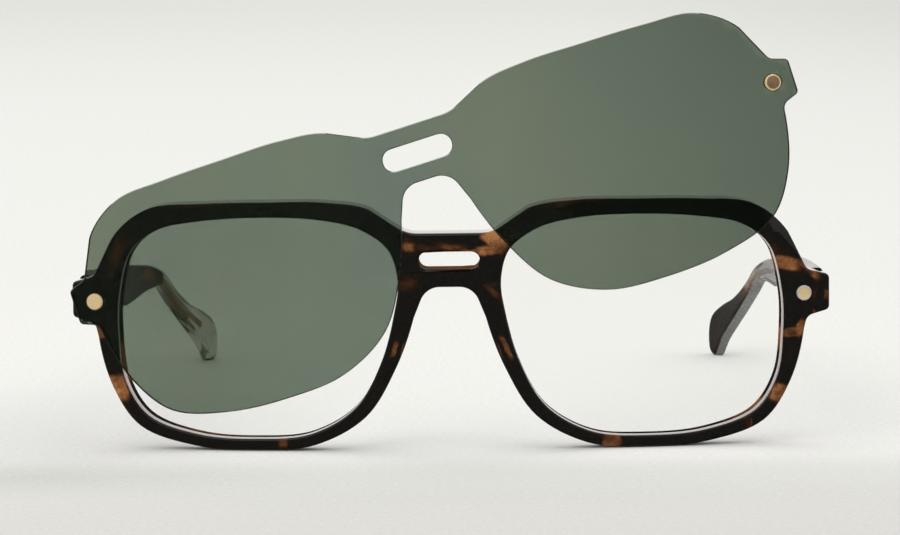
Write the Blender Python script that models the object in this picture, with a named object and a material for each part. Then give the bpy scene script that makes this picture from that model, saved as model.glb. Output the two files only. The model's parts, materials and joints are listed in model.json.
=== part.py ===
"""Eyeglasses with a magnetic clip-on sun lens, standing on their rims and temple tips.

The front is an acetate sheet bent about an upright axis. It is drawn flat, with u across, w up from
the bottom of the rims and n back from the front face, and front_point() bends the drawing. The clip
is drawn on the same sheet and then swung up about its left magnet. World axes: X across, Y from the
front back to the temple tips, Z up. Left and right are as seen from in front.
"""
from math import asin, atan, atan2, cos, hypot, pi, radians, sin, sqrt, tan

import bmesh
import bpy
from mathutils import Matrix, Vector
from mathutils.geometry import delaunay_2d_cdt

MM = 0.001

# Lenses, boxed: their widest and tallest, and the least distance between the two
LENS_WIDTH = 56.5 * MM
LENS_HEIGHT = 45.2 * MM
LENS_GAP = 18.8 * MM
LENS_THICKNESS = 1.8 * MM
LENS_IN_RIM = 0.7 * MM
LENS_SET_BACK = 1.1 * MM
LENS_GRID = 9.0 * MM
GROOVE_PLAY = 0.15 * MM

# Acetate front
FRONT_THICKNESS = 4.8 * MM
FRONT_RADIUS = 330 * MM
FRONT_TILT = radians(2.0)
FRONT_EDGE = 0.5 * MM
RIM_EDGE = 0.3 * MM
RIM_TOP = 3.05 * MM
RIM_CORNER = 4.55 * MM
RIM_SIDE = 4.2 * MM
RIM_LOWER = 2.75 * MM
RIM_BOTTOM = 2.4 * MM
RIM_NOSE = 3.5 * MM
RIM_BROW = 4.4 * MM

# Bridge: its top bar, the slot through it and the arch over the nose
LENS_TOP = RIM_BOTTOM - LENS_IN_RIM + LENS_HEIGHT
BRIDGE_DOWN = 3.85 * MM
BRIDGE_HEIGHT = 10.6 * MM
BRIDGE_BAR_IN = 1.1 * MM
BRIDGE_FILLET = 7.0 * MM
BRIDGE_TOP = LENS_TOP - BRIDGE_DOWN
BRIDGE_BAR = LENS_GAP - 2 * BRIDGE_BAR_IN
ARCH_IN = 4.8 * MM
ARCH_FILLET = 4.0 * MM
ARCH_TOP = BRIDGE_TOP - BRIDGE_HEIGHT
ARCH_WIDTH = LENS_GAP - 2 * ARCH_IN
SLOT_IN = 2.75 * MM
SLOT_DOWN = 5.35 * MM
SLOT_HEIGHT = 3.8 * MM
SLOT_WIDTH = LENS_GAP - 2 * SLOT_IN
SLOT_UP = BRIDGE_TOP - SLOT_DOWN

# Endpieces, the blocks at the ends of the front
ENDPIECE_DOWN = 17.4 * MM
ENDPIECE_HEIGHT = 6.9 * MM
ENDPIECE_FLARE = 1.2 * MM
ENDPIECE_OUT = 5.0 * MM
ENDPIECE_REACH = 4.4 * MM
ENDPIECE_CORNER = 1.0 * MM
ENDPIECE_ROOT = 1.9 * MM
ENDPIECE_UP = LENS_TOP - ENDPIECE_DOWN
FRONT_WIDTH = LENS_GAP + 2 * (LENS_WIDTH - LENS_IN_RIM + RIM_SIDE + ENDPIECE_OUT)

# Nose pads, glued to the back of the rims
PAD_HEIGHT = 4.4 * MM
PAD_WIDTH = 2.1 * MM
PAD_GAP = 0.1 * MM
PAD_STATIONS = 9

# Magnets, caps and bezels
MAGNET_IN = 5.1 * MM
MAGNET_ACROSS = FRONT_WIDTH / 2 - MAGNET_IN
CAP_DIAMETER = 3.0 * MM
CAP_THICKNESS = 0.8 * MM
CAP_PROUD = 0.3 * MM
CAP_EDGE = 0.15 * MM
FRAME_MAGNET_DIAMETER = 2.8 * MM
FRAME_MAGNET_THICKNESS = 1.3 * MM
CLIP_MAGNET_DIAMETER = 2.45 * MM
BEZEL_DIAMETER = 3.1 * MM
BEZEL_PROUD = 0.25 * MM
BEZEL_EDGE = 0.12 * MM
CLIP_MAGNET_SUNK = 0.1 * MM
DISC_PLAY = 0.12 * MM
MAGNET_PLAY = 0.05 * MM
MAGNET_GAP = 0.3 * MM

# Clip-on lens
CLIP_THICKNESS = 1.1 * MM
CLIP_STANDOFF = 1.0 * MM
CLIP_INSET_TOP = 0.65 * MM
CLIP_INSET_SIDE = -0.3 * MM
CLIP_INSET_BOTTOM = 0.2 * MM
CLIP_INSET_NOSE = 0.0 * MM
CLIP_INSET_END = 0.95 * MM
CLIP_EDGE = 0.15 * MM
CLIP_BRIDGE_RISE = 0.8 * MM
CLIP_ARCH_RISE = 0.25 * MM
CLIP_SLOT_RISE = 0.5 * MM
CLIP_SLOT_PLAY = 0.6 * MM
CLIP_GRID = 8.0 * MM
CLIP_SWING = radians(17.75)

# Hinges: three knuckles on an upright screw behind each endpiece
HINGE_IN = 5.1 * MM
HINGE_ACROSS = FRONT_WIDTH / 2 - HINGE_IN
KNUCKLE_RADIUS = 1.3 * MM
KNUCKLE_HEIGHT = 1.6 * MM
KNUCKLE_GAP = 0.25 * MM
KNUCKLE_CLEAR = 0.3 * MM
NECK_WIDTH = 1.7 * MM
LEAF_THICKNESS = 1.0 * MM
LEAF_HEIGHT = 5.0 * MM
FRONT_LEAF_LENGTH = 5.4 * MM
TEMPLE_LEAF_START = 0.3 * MM
TEMPLE_LEAF_LENGTH = 9.0 * MM
LEAF_PLAY = 0.15 * MM
SCREW_RADIUS = 0.65 * MM
SCREW_PLAY = 0.05 * MM
SCREW_HEAD_RADIUS = 1.05 * MM
SCREW_HEAD_HEIGHT = 0.5 * MM
SCREW_TAIL = 0.4 * MM
SCREW_SLOT = 0.3 * MM
SCREW_SLOT_DEPTH = 0.25 * MM
SCREW_HEAD_GAP = 0.1 * MM
KNUCKLE_ROOT = 0.6 * LEAF_THICKNESS
SCREW_SEGMENTS = 16

# Temples
TEMPLE_STRAIGHT = 96.0 * MM
TIP_LENGTH = 36.0 * MM
TIP_ANGLE = radians(32)
TEMPLE_THICKNESS = 3.8 * MM
TIP_THICKNESS = 2.4 * MM
TEMPLE_EDGE = 0.75 * MM
TEMPLE_HEIGHT = 8.8 * MM
NECK_HEIGHT = 3.4 * MM
PADDLE_HEIGHT = 7.2 * MM
TEMPLE_KNUCKLE_GAP = 0.2 * MM
TEMPLE_OUT = KNUCKLE_RADIUS + TEMPLE_KNUCKLE_GAP
TEMPLE_WRAP = 15.5 * MM
WRAP_POWER = 3.8
TEMPLE_GAP = 0.3 * MM

# Core wires, pushed into the temples from their hinge ends
CORE_WIDTH = 0.9 * MM
CORE_HEIGHT = 1.2 * MM
CORE_PLAY = 0.28 * MM
CORE_START = 1.0 * MM
CORE_BORE_START = -3.0 * MM
CORE_END = 0.72
CORE_END_RISE = 1.5 * MM

# Lens outline, clockwise from the top as seen in front: across and up as shares of half the lens
# box, with +1 across at the temple, and the rim's width there
LENS_SHAPE = (
    (-0.06, 1.000, RIM_TOP),
    (0.39, 0.965, RIM_TOP + 0.3 * (RIM_CORNER - RIM_TOP)),
    (0.70, 0.882, RIM_CORNER),
    (0.90, 0.680, RIM_CORNER),
    (0.99, 0.279, RIM_CORNER),
    (1.00, -0.080, RIM_SIDE),
    (0.955, -0.500, RIM_LOWER + 0.1 * (RIM_SIDE - RIM_LOWER)),
    (0.795, -0.802, RIM_LOWER),
    (0.44, -0.965, RIM_BOTTOM),
    (0.03, -1.000, RIM_BOTTOM),
    (-0.365, -0.952, RIM_BOTTOM),
    (-0.690, -0.712, RIM_LOWER),
    (-0.874, -0.313, 0.5 * (RIM_LOWER + RIM_NOSE)),
    (-0.971, 0.122, RIM_NOSE + 0.5 * (RIM_BROW - RIM_NOSE)),
    (-1.00, 0.414, RIM_BROW),
    (-0.936, 0.699, RIM_BROW),
    (-0.735, 0.890, RIM_BROW),
    (-0.45, 0.978, RIM_TOP + 0.4 * (RIM_BROW - RIM_TOP)),
)
BROW_INDEX = 16
CORNER_INDEX = 3
SIDE_INDEX = 5
NOSE_INDEX = 13
CURVE_STEPS = 3

# Temple seen from the side: share of the straight or of the tip, edge above and edge below the
# centre line as shares of the height named; the tip's end is a share and a place above the line
STRAIGHT_STATIONS = (
    (-0.05, 0.45 * TEMPLE_HEIGHT, 0.45 * TEMPLE_HEIGHT),
    (0.30, 0.46 * TEMPLE_HEIGHT, 0.52 * TEMPLE_HEIGHT),
    (0.58, 0.43 * TEMPLE_HEIGHT, 0.57 * TEMPLE_HEIGHT),
    (0.71, 0.36 * TEMPLE_HEIGHT, 0.51 * TEMPLE_HEIGHT),
    (0.82, 0.80 * NECK_HEIGHT, 1.00 * NECK_HEIGHT),
    (0.92, 0.60 * NECK_HEIGHT, 0.80 * NECK_HEIGHT),
)
TIP_STATIONS = (
    (0.05, 0.30 * NECK_HEIGHT, 0.60 * NECK_HEIGHT),
    (0.25, 0.44 * NECK_HEIGHT, 0.46 * NECK_HEIGHT),
    (0.50, 0.37 * PADDLE_HEIGHT, 0.20 * PADDLE_HEIGHT),
    (0.68, 0.61 * PADDLE_HEIGHT, 0.22 * PADDLE_HEIGHT),
    (0.81, 0.68 * PADDLE_HEIGHT, 0.28 * PADDLE_HEIGHT),
    (0.87, 0.57 * PADDLE_HEIGHT, 0.37 * PADDLE_HEIGHT),
)
TIP_END = (
    (0.935, 0.22 * PADDLE_HEIGHT),
    (0.965, -0.18 * PADDLE_HEIGHT),
    (0.935, -0.45 * PADDLE_HEIGHT),
)
TEMPLE_STEPS = 3

DISC_SEGMENTS = 20
SIDES = (("left", -1), ("right", 1))


def start_empty():
    for item in list(bpy.data.objects):
        bpy.data.objects.remove(item, do_unlink=True)


def finish(name, colour, roughness, metallic=0.0, transmission=0.0):
    material = bpy.data.materials.new(name)
    material.use_nodes = True
    shader = material.node_tree.nodes["Principled BSDF"]
    shader.inputs["Base Color"].default_value = (*colour, 1.0)
    shader.inputs["Roughness"].default_value = roughness
    shader.inputs["Metallic"].default_value = metallic
    shader.inputs["Transmission Weight"].default_value = transmission
    return material


def named_object(name, bm, material=None):
    """The object of a closed bmesh, its faces turned outwards."""
    bmesh.ops.recalc_face_normals(bm, faces=bm.faces[:])
    mesh = bpy.data.meshes.new(name)
    bm.to_mesh(mesh)
    bm.free()
    if material:
        mesh.materials.append(material)
    mesh.shade_smooth()
    mesh.set_sharp_from_angle(angle=radians(32))
    thing = bpy.data.objects.new(name, mesh)
    bpy.context.scene.collection.objects.link(thing)
    return thing


def empty(name, matrix, parent=None):
    thing = bpy.data.objects.new(name, None)
    bpy.context.scene.collection.objects.link(thing)
    thing.parent = parent
    thing.matrix_local = matrix
    return thing


def apply_tool(target, tool, operation):
    """Cut or join a hidden tool that stands where the target's own space puts it."""
    tool.hide_render = True
    tool.display_type = 'WIRE'
    tool.parent = target
    modifier = target.modifiers.new(tool.name, 'BOOLEAN')
    modifier.operation = operation
    modifier.solver = 'EXACT'
    modifier.object = tool


def smooth_curve(points, steps, closed=True):
    """Points on a centripetal Catmull-Rom curve through the given ones."""
    points = [Vector(p) for p in points]
    if not closed:
        points = [2 * points[0] - points[1]] + points + [2 * points[-1] - points[-2]]
    spans = len(points) if closed else len(points) - 3
    curve = []
    for i in range(spans):
        four = [points[(i + k - (1 if closed else 0)) % len(points)] for k in range(4)]
        knots = [0.0]
        for a, b in zip(four, four[1:]):
            knots.append(knots[-1] + sqrt((b - a).length))
        for step in range(steps):
            t = knots[1] + (knots[2] - knots[1]) * step / steps
            level = four
            for order in (1, 2, 3):
                low = [k if order < 3 else 1 for k in range(4 - order)]
                span = order if order < 3 else 1
                level = [
                    a.lerp(b, (t - knots[k]) / (knots[k + span] - knots[k]))
                    for a, b, k in zip(level, level[1:], low)
                ]
            curve.append(level[0])
    if not closed:
        curve.append(points[-2])
    return curve


def offset_loop(points, distance):
    """A closed clockwise loop moved outwards, to the left of its direction, by a distance."""
    moved = []
    for i, point in enumerate(points):
        back = (point - points[i - 1]).normalized()
        ahead = (points[(i + 1) % len(points)] - point).normalized()
        mean = (back + ahead).normalized()
        share = max(0.5, mean.dot(ahead))
        moved.append(point + Vector((-mean.y, mean.x)) * distance / share)
    return moved


def corner_arc(before, corner, after, radius, steps=4):
    """The round of a corner between two straight runs."""
    back = (before - corner).normalized()
    ahead = (after - corner).normalized()
    half = back.angle(ahead) / 2
    run = radius / tan(half)
    middle = corner + (back + ahead).normalized() * radius / sin(half)
    first = corner + back * run - middle
    last = corner + ahead * run - middle
    sweep = first.angle_signed(last)
    arc = []
    for step in range(steps + 1):
        turn = -sweep * step / steps
        arc.append(middle + Matrix.Rotation(turn, 2) @ first)
    return arc


def circle(radius, segments=DISC_SEGMENTS):
    return [
        Vector((radius * cos(-2 * pi * i / segments), radius * sin(-2 * pi * i / segments)))
        for i in range(segments)
    ]


def inside(point, loop):
    """Whether a flat point lies inside a closed loop."""
    odd = False
    for a, b in zip(loop, loop[1:] + loop[:1]):
        if (a.y > point.y) != (b.y > point.y):
            if point.x < a.x + (point.y - a.y) * (b.x - a.x) / (b.y - a.y):
                odd = not odd
    return odd


def grid_points(loops, pitch):
    """Points on a square grid inside the first loop, clear of the holes and of every edge."""
    outline = loops[0]
    low_x, high_x = min(p.x for p in outline), max(p.x for p in outline)
    low_y, high_y = min(p.y for p in outline), max(p.y for p in outline)
    columns = max(2, round((high_x - low_x) / pitch))
    rows = max(2, round((high_y - low_y) / pitch))
    kept = []
    for i in range(1, columns):
        for j in range(1, rows):
            point = Vector((low_x + (high_x - low_x) * i / columns, low_y + (high_y - low_y) * j / rows))
            if not inside(point, outline) or any(inside(point, hole) for hole in loops[1:]):
                continue
            if min((point - edge).length for loop in loops for edge in loop) > 0.55 * pitch:
                kept.append(point)
    return kept


def sheet(contours, place, pitch=None):
    """A closed solid between two faces of a flat drawing.

    contours: the outline and then the holes, each a clockwise loop with its wall, which is a list of
    (distance outwards from the drawn line, depth) from the front face to the back one. For a hole,
    outwards is still away from the loop's middle, so a groove in its wall is positive.
    place(x, y, depth) gives the point in space. pitch fills the faces with a grid that can bend.
    """
    bm = bmesh.new()
    faces_flat = {0: [], -1: []}
    for loop, wall in contours:
        rings = []
        for out, depth in wall:
            flat = offset_loop(loop, out)
            rings.append((flat, [bm.verts.new(place(p.x, p.y, depth)) for p in flat]))
        for (_, upper), (_, lower) in zip(rings, rings[1:]):
            for i in range(len(upper)):
                bm.faces.new((upper[i - 1], upper[i], lower[i], lower[i - 1]))
        for end in faces_flat:
            faces_flat[end].append(rings[end])
    for end, rings in faces_flat.items():
        loops = [flat for flat, _ in rings]
        depth = contours[0][1][end][1]
        flat_points = []
        verts = []
        edges = []
        for flat, ring in rings:
            first = len(verts)
            count = len(ring)
            edges += [(first + i, first + (i + 1) % count) for i in range(count)]
            flat_points += flat
            verts += ring
        if pitch:
            for point in grid_points(loops, pitch):
                flat_points.append(point)
                verts.append(bm.verts.new(place(point.x, point.y, depth)))
        scaled = [p / MM for p in flat_points]
        found = delaunay_2d_cdt(scaled, edges, [], 0, 1e-6)
        for face in found[2]:
            corners = [found[3][k][0] for k in face]
            middle = sum((flat_points[k] for k in corners), Vector((0, 0))) / 3
            if inside(middle, loops[0]) and not any(inside(middle, hole) for hole in loops[1:]):
                bm.faces.new([verts[k] for k in corners])
    return bm


def turned(profile, segments=DISC_SEGMENTS):
    """A solid of revolution about local Y. profile: (radius, along) from one end to the other."""
    bm = bmesh.new()
    rings = []
    for radius, along in profile:
        if radius == 0:
            rings.append([bm.verts.new((0, along, 0))] * segments)
            continue
        angles = [2 * pi * i / segments for i in range(segments)]
        rings.append([bm.verts.new((radius * cos(a), along, radius * sin(a))) for a in angles])
    closed = profile[0][0] != 0
    pairs = list(zip(rings, rings[1:])) + ([(rings[-1], rings[0])] if closed else [])
    for upper, lower in pairs:
        for i in range(segments):
            corners = []
            for vert in (upper[i - 1], upper[i], lower[i], lower[i - 1]):
                if vert not in corners:
                    corners.append(vert)
            bm.faces.new(corners)
    return bm


def block(low, high, matrix=None):
    """A closed box between two corners."""
    bm = bmesh.new()
    size = [b - a for a, b in zip(low, high)]
    middle = [(a + b) / 2 for a, b in zip(low, high)]
    place = Matrix.Translation(middle) @ Matrix.Diagonal((*size, 1))
    bmesh.ops.create_cube(bm, size=1, matrix=(matrix or Matrix()) @ place)
    return bm


def outwards(side, near, far):
    """The lower and the upper X of a run that goes outwards on the left or the right."""
    return sorted((side * near, side * far))


def front_point(u, w, n):
    """The drawing of the front, bent about an upright axis."""
    lean = atan(u / FRONT_RADIUS)
    return Vector((u - n * sin(lean), u * u / (2 * FRONT_RADIUS) + n * cos(lean), w))


def front_place(u, w, n=0.0):
    """A frame on the bent front: x along it, y straight back through it, z up."""
    turn = Matrix.Rotation(atan(u / FRONT_RADIUS), 4, 'Z')
    return Matrix.Translation(front_point(u, w, n)) @ turn


def lens_middle():
    return Vector(((LENS_GAP + LENS_WIDTH) / 2, RIM_BOTTOM - LENS_IN_RIM + LENS_HEIGHT / 2))


def lens_points():
    middle = lens_middle()
    half = (LENS_WIDTH / 2, LENS_HEIGHT / 2)
    return [Vector((middle.x + across * half[0], middle.y + up * half[1])) for across, up, _ in LENS_SHAPE]


def lens_loop():
    """The right lens's outline."""
    return smooth_curve(lens_points(), CURVE_STEPS)


def rim_loop(top=0.0, side=0.0, bottom=0.0, nose=0.0):
    """The outer edge of the right rim all round, also where the bridge and endpiece cover it.

    top, side, bottom and nose draw the edge in, each where it faces that way.
    """
    fine = 8
    smooth = offset_loop(smooth_curve(lens_points(), fine), 1.0)
    corners = []
    for i, (_, _, width) in enumerate(LENS_SHAPE):
        base = lens_points()[i]
        outward = (smooth[fine * i] - base).normalized()
        inset = outward.x ** 2 * (side if outward.x > 0 else nose)
        inset += outward.y ** 2 * (top if outward.y > 0 else bottom)
        corners.append(base + outward * (width - LENS_IN_RIM - inset))
    return smooth_curve(corners, CURVE_STEPS)


def front_loop(rim, end_inset=0.0, bridge_top=BRIDGE_TOP, arch_top=ARCH_TOP):
    """The outline of the front round a right rim, clockwise from the middle of the bridge's top."""
    brow = BROW_INDEX * CURVE_STEPS
    corner = CORNER_INDEX * CURVE_STEPS
    side = SIDE_INDEX * CURVE_STEPS
    nose = NOSE_INDEX * CURVE_STEPS
    over = rim[brow:] + rim[:corner + 1]
    under = rim[side:nose + 1]
    end = FRONT_WIDTH / 2 - end_inset
    root = FRONT_WIDTH / 2 - ENDPIECE_REACH
    tall = ENDPIECE_HEIGHT / 2
    bar = Vector((BRIDGE_BAR / 2, bridge_top))
    arch = Vector((ARCH_WIDTH / 2, arch_top))
    blocks = [
        (Vector((root, ENDPIECE_UP + tall + ENDPIECE_FLARE)), ENDPIECE_ROOT),
        (Vector((end, ENDPIECE_UP + tall)), ENDPIECE_CORNER),
        (Vector((end, ENDPIECE_UP - tall)), ENDPIECE_CORNER),
        (Vector((root, ENDPIECE_UP - tall - ENDPIECE_FLARE)), ENDPIECE_ROOT),
    ]
    half = corner_arc(Vector((0, bridge_top)), bar, over[0], BRIDGE_FILLET)
    half += over
    chain = [over[-1]] + [point for point, _ in blocks] + [under[0]]
    for i, (point, radius) in enumerate(blocks):
        half += corner_arc(chain[i], point, chain[i + 2], radius, 3)
    half += under
    half += corner_arc(under[-1], arch, Vector((0, arch_top)), ARCH_FILLET, 5)
    mirrored = [Vector((-p.x, p.y)) for p in reversed(half)]
    return half + mirrored


def slot_loop(width, height, up, steps=5):
    """A slot with round ends, clockwise."""
    reach = width / 2 - height / 2
    loop = []
    for middle, start in ((reach, pi / 2), (-reach, -pi / 2)):
        for step in range(steps + 1):
            angle = start - pi * step / steps
            loop.append(Vector((middle + height / 2 * cos(angle), up + height / 2 * sin(angle))))
    return loop


def mirror_loop(loop):
    return [Vector((-p.x, p.y)) for p in reversed(loop)]


def shift_loop(loop, across, up):
    return [p + Vector((across, up)) for p in loop]


def build_front(tilt, acetate):
    """The acetate front with its lens grooves, slot, magnet bores and hinge pockets."""
    back = FRONT_THICKNESS
    wall = [(-FRONT_EDGE, 0), (0, FRONT_EDGE), (0, back - FRONT_EDGE), (-FRONT_EDGE, back)]
    groove_front = LENS_SET_BACK - GROOVE_PLAY
    groove_back = LENS_SET_BACK + LENS_THICKNESS + GROOVE_PLAY
    opening = -LENS_IN_RIM
    lens_wall = [
        (opening + RIM_EDGE, 0),
        (opening, RIM_EDGE),
        (opening, groove_front),
        (GROOVE_PLAY, groove_front),
        (GROOVE_PLAY, groove_back),
        (opening, groove_back),
        (opening, back - RIM_EDGE),
        (opening + RIM_EDGE, back),
    ]
    slot_wall = [(RIM_EDGE, 0), (0, RIM_EDGE), (0, back - RIM_EDGE), (RIM_EDGE, back)]
    contours = [
        (front_loop(rim_loop()), wall),
        (lens_loop(), lens_wall),
        (mirror_loop(lens_loop()), lens_wall),
        (slot_loop(SLOT_WIDTH, SLOT_HEIGHT, SLOT_UP), slot_wall),
    ]
    front = named_object("frame_front", sheet(contours, front_point), acetate)
    front.parent = tilt
    bore_depth = CAP_THICKNESS - CAP_PROUD + FRAME_MAGNET_THICKNESS + 2 * DISC_PLAY
    bore_radius = CAP_DIAMETER / 2 + DISC_PLAY
    for label, side in SIDES:
        bore = turned([(0, -MM), (bore_radius, -MM), (bore_radius, bore_depth), (0, bore_depth)])
        tool = named_object(f"{label}_magnet_bore", bore)
        tool.matrix_local = front_place(side * MAGNET_ACROSS, ENDPIECE_UP)
        apply_tool(front, tool, 'DIFFERENCE')
        half_length = FRONT_LEAF_LENGTH / 2 + LEAF_PLAY
        half_height = LEAF_HEIGHT / 2 + LEAF_PLAY
        pocket = block(
            (-half_length, back - LEAF_THICKNESS - LEAF_PLAY, -half_height),
            (half_length, back + MM, half_height),
        )
        tool = named_object(f"{label}_leaf_pocket", pocket)
        tool.matrix_local = front_place(side * HINGE_ACROSS, ENDPIECE_UP)
        apply_tool(front, tool, 'DIFFERENCE')


def build_pads(tilt, acetate):
    """Two nose pads: ridges on the back of the rims, beside the nose."""
    first = (NOSE_INDEX - 2) * CURVE_STEPS - 1
    run = rim_loop()[first:first + PAD_STATIONS]
    base = FRONT_THICKNESS + PAD_GAP
    for label, side in SIDES:
        bm = bmesh.new()
        rings = []
        for i, point in enumerate(run):
            along = (run[min(i + 1, PAD_STATIONS - 1)] - run[max(i - 1, 0)]).normalized()
            to_lens = Vector((along.y, -along.x))
            swell = sin(pi * (i + 0.6) / (PAD_STATIONS + 0.2))
            height = PAD_HEIGHT * swell ** 0.7
            width = PAD_WIDTH * (0.55 + 0.45 * swell)
            nose_edge = FRONT_EDGE + 0.5 * MM * (1 - swell)
            section = (
                (nose_edge, 0.0),
                (nose_edge + 0.15 * width, 0.55 * height),
                (nose_edge + 0.40 * width, 0.95 * height),
                (nose_edge + 0.75 * width, 1.00 * height),
                (nose_edge + 0.97 * width, 0.70 * height),
                (nose_edge + width, 0.0),
            )
            ring = []
            for over, out in section:
                spot = point + to_lens * over
                ring.append(bm.verts.new(front_point(side * spot.x, spot.y, base + out)))
            rings.append(ring)
        for upper, lower in zip(rings, rings[1:]):
            for i in range(len(upper)):
                bm.faces.new((upper[i - 1], upper[i], lower[i], lower[i - 1]))
        bm.faces.new(rings[0])
        bm.faces.new(rings[-1])
        pad = named_object(f"{label}_nose_pad", bm, acetate)
        pad.parent = tilt


def build_lenses(tilt, clear):
    """Two plain demo lenses, held in the rims' grooves."""
    wall = [(0, LENS_SET_BACK), (0, LENS_SET_BACK + LENS_THICKNESS)]
    for label, side in SIDES:
        loop = lens_loop() if side > 0 else mirror_loop(lens_loop())
        lens = named_object(f"{label}_demo_lens", sheet([(loop, wall)], front_point, LENS_GRID), clear)
        lens.parent = tilt


def build_frame_magnets(tilt, gold, magnetic):
    """A magnet in each endpiece behind a gold cap that stands a little proud."""
    for label, side in SIDES:
        radius = CAP_DIAMETER / 2
        back = CAP_THICKNESS - CAP_PROUD
        profile = [
            (0, -CAP_PROUD),
            (radius - CAP_EDGE, -CAP_PROUD),
            (radius, CAP_EDGE - CAP_PROUD),
            (radius, back),
            (0, back),
        ]
        cap = named_object(f"{label}_frame_magnet_cap", turned(profile), gold)
        cap.parent = tilt
        cap.matrix_local = front_place(side * MAGNET_ACROSS, ENDPIECE_UP)
        radius = FRAME_MAGNET_DIAMETER / 2
        near = back + DISC_PLAY
        far = near + FRAME_MAGNET_THICKNESS
        body = turned([(0, near), (radius, near), (radius, far), (0, far)])
        magnet = named_object(f"{label}_frame_magnet", body, magnetic)
        magnet.parent = tilt
        magnet.matrix_local = front_place(side * MAGNET_ACROSS, ENDPIECE_UP)


def build_clip(tilt, tinted, gold, magnetic):
    """The one-piece sun lens, with a magnet in a gold bezel at each end, swung up as it hangs."""
    pivot_at = front_place(-MAGNET_ACROSS, ENDPIECE_UP)
    swing = Matrix.Rotation(CLIP_SWING, 4, 'Y').inverted()
    pivot = empty("clip_pivot", pivot_at @ swing, tilt)
    back = -CLIP_STANDOFF
    face = back - CLIP_THICKNESS
    wall = [(-CLIP_EDGE, face), (0, face + CLIP_EDGE), (0, back - CLIP_EDGE), (-CLIP_EDGE, back)]
    slot_size = (SLOT_WIDTH + CLIP_SLOT_PLAY, SLOT_HEIGHT + CLIP_SLOT_PLAY)
    slot = slot_loop(*slot_size, SLOT_UP + CLIP_SLOT_RISE)
    rim = rim_loop(CLIP_INSET_TOP, CLIP_INSET_SIDE, CLIP_INSET_BOTTOM, CLIP_INSET_NOSE)
    bridge = (BRIDGE_TOP + CLIP_BRIDGE_RISE, ARCH_TOP + CLIP_ARCH_RISE)
    contours = [
        (front_loop(rim, CLIP_INSET_END, *bridge), wall),
        (slot, [(0, face), (0, back)]),
    ]
    hole = circle(BEZEL_DIAMETER / 2 + DISC_PLAY)
    for _, side in SIDES:
        round_hole = shift_loop(hole, side * MAGNET_ACROSS, ENDPIECE_UP)
        contours.append((round_hole, [(0, face), (0, back)]))
    lens = named_object("clip_lens", sheet(contours, front_point, CLIP_GRID), tinted)
    lens.parent = pivot
    lens.matrix_parent_inverse = pivot_at.inverted()
    touch = -CAP_PROUD - MAGNET_GAP
    for label, side in SIDES:
        outer = BEZEL_DIAMETER / 2
        inner = CLIP_MAGNET_DIAMETER / 2 + MAGNET_PLAY
        near = face - BEZEL_PROUD
        profile = [
            (inner, near),
            (outer - BEZEL_EDGE, near),
            (outer, near + BEZEL_EDGE),
            (outer, touch),
            (inner, touch),
        ]
        bezel = named_object(f"{label}_clip_bezel", turned(profile), gold)
        radius = CLIP_MAGNET_DIAMETER / 2
        sunk = near + CLIP_MAGNET_SUNK
        body = turned([(0, sunk), (radius, sunk), (radius, touch), (0, touch)])
        magnet = named_object(f"{label}_clip_magnet", body, magnetic)
        for thing in (bezel, magnet):
            thing.parent = pivot
            thing.matrix_parent_inverse = pivot_at.inverted()
            thing.matrix_basis = front_place(side * MAGNET_ACROSS, ENDPIECE_UP)


def hinge_place(side):
    """The middle of a hinge's axis, its frame square to the front and not to the bent endpiece."""
    back = FRONT_THICKNESS + KNUCKLE_CLEAR + KNUCKLE_RADIUS
    return Matrix.Translation(front_point(side * HINGE_ACROSS, ENDPIECE_UP, back))


def knuckle(reach, low, high):
    """A knuckle about local Z with a neck towards local -Y, bored for the screw."""
    half = NECK_WIDTH / 2
    start = asin(half / KNUCKLE_RADIUS)
    steps = 12
    loop = [Vector((half, -reach)), Vector((-half, -reach))]
    for step in range(steps + 1):
        angle = -pi / 2 - start - (2 * pi - 2 * start) * step / steps
        loop.append(Vector((KNUCKLE_RADIUS * cos(angle), KNUCKLE_RADIUS * sin(angle))))
    bore = circle(SCREW_RADIUS + SCREW_PLAY, SCREW_SEGMENTS)
    wall = [(0, low), (0, high)]
    return sheet([(loop, wall), (bore, wall)], lambda x, y, z: Vector((x, y, z)))


def hinge_half():
    """Half the height of the three knuckles with the gaps between them."""
    return 1.5 * KNUCKLE_HEIGHT + KNUCKLE_GAP


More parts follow.
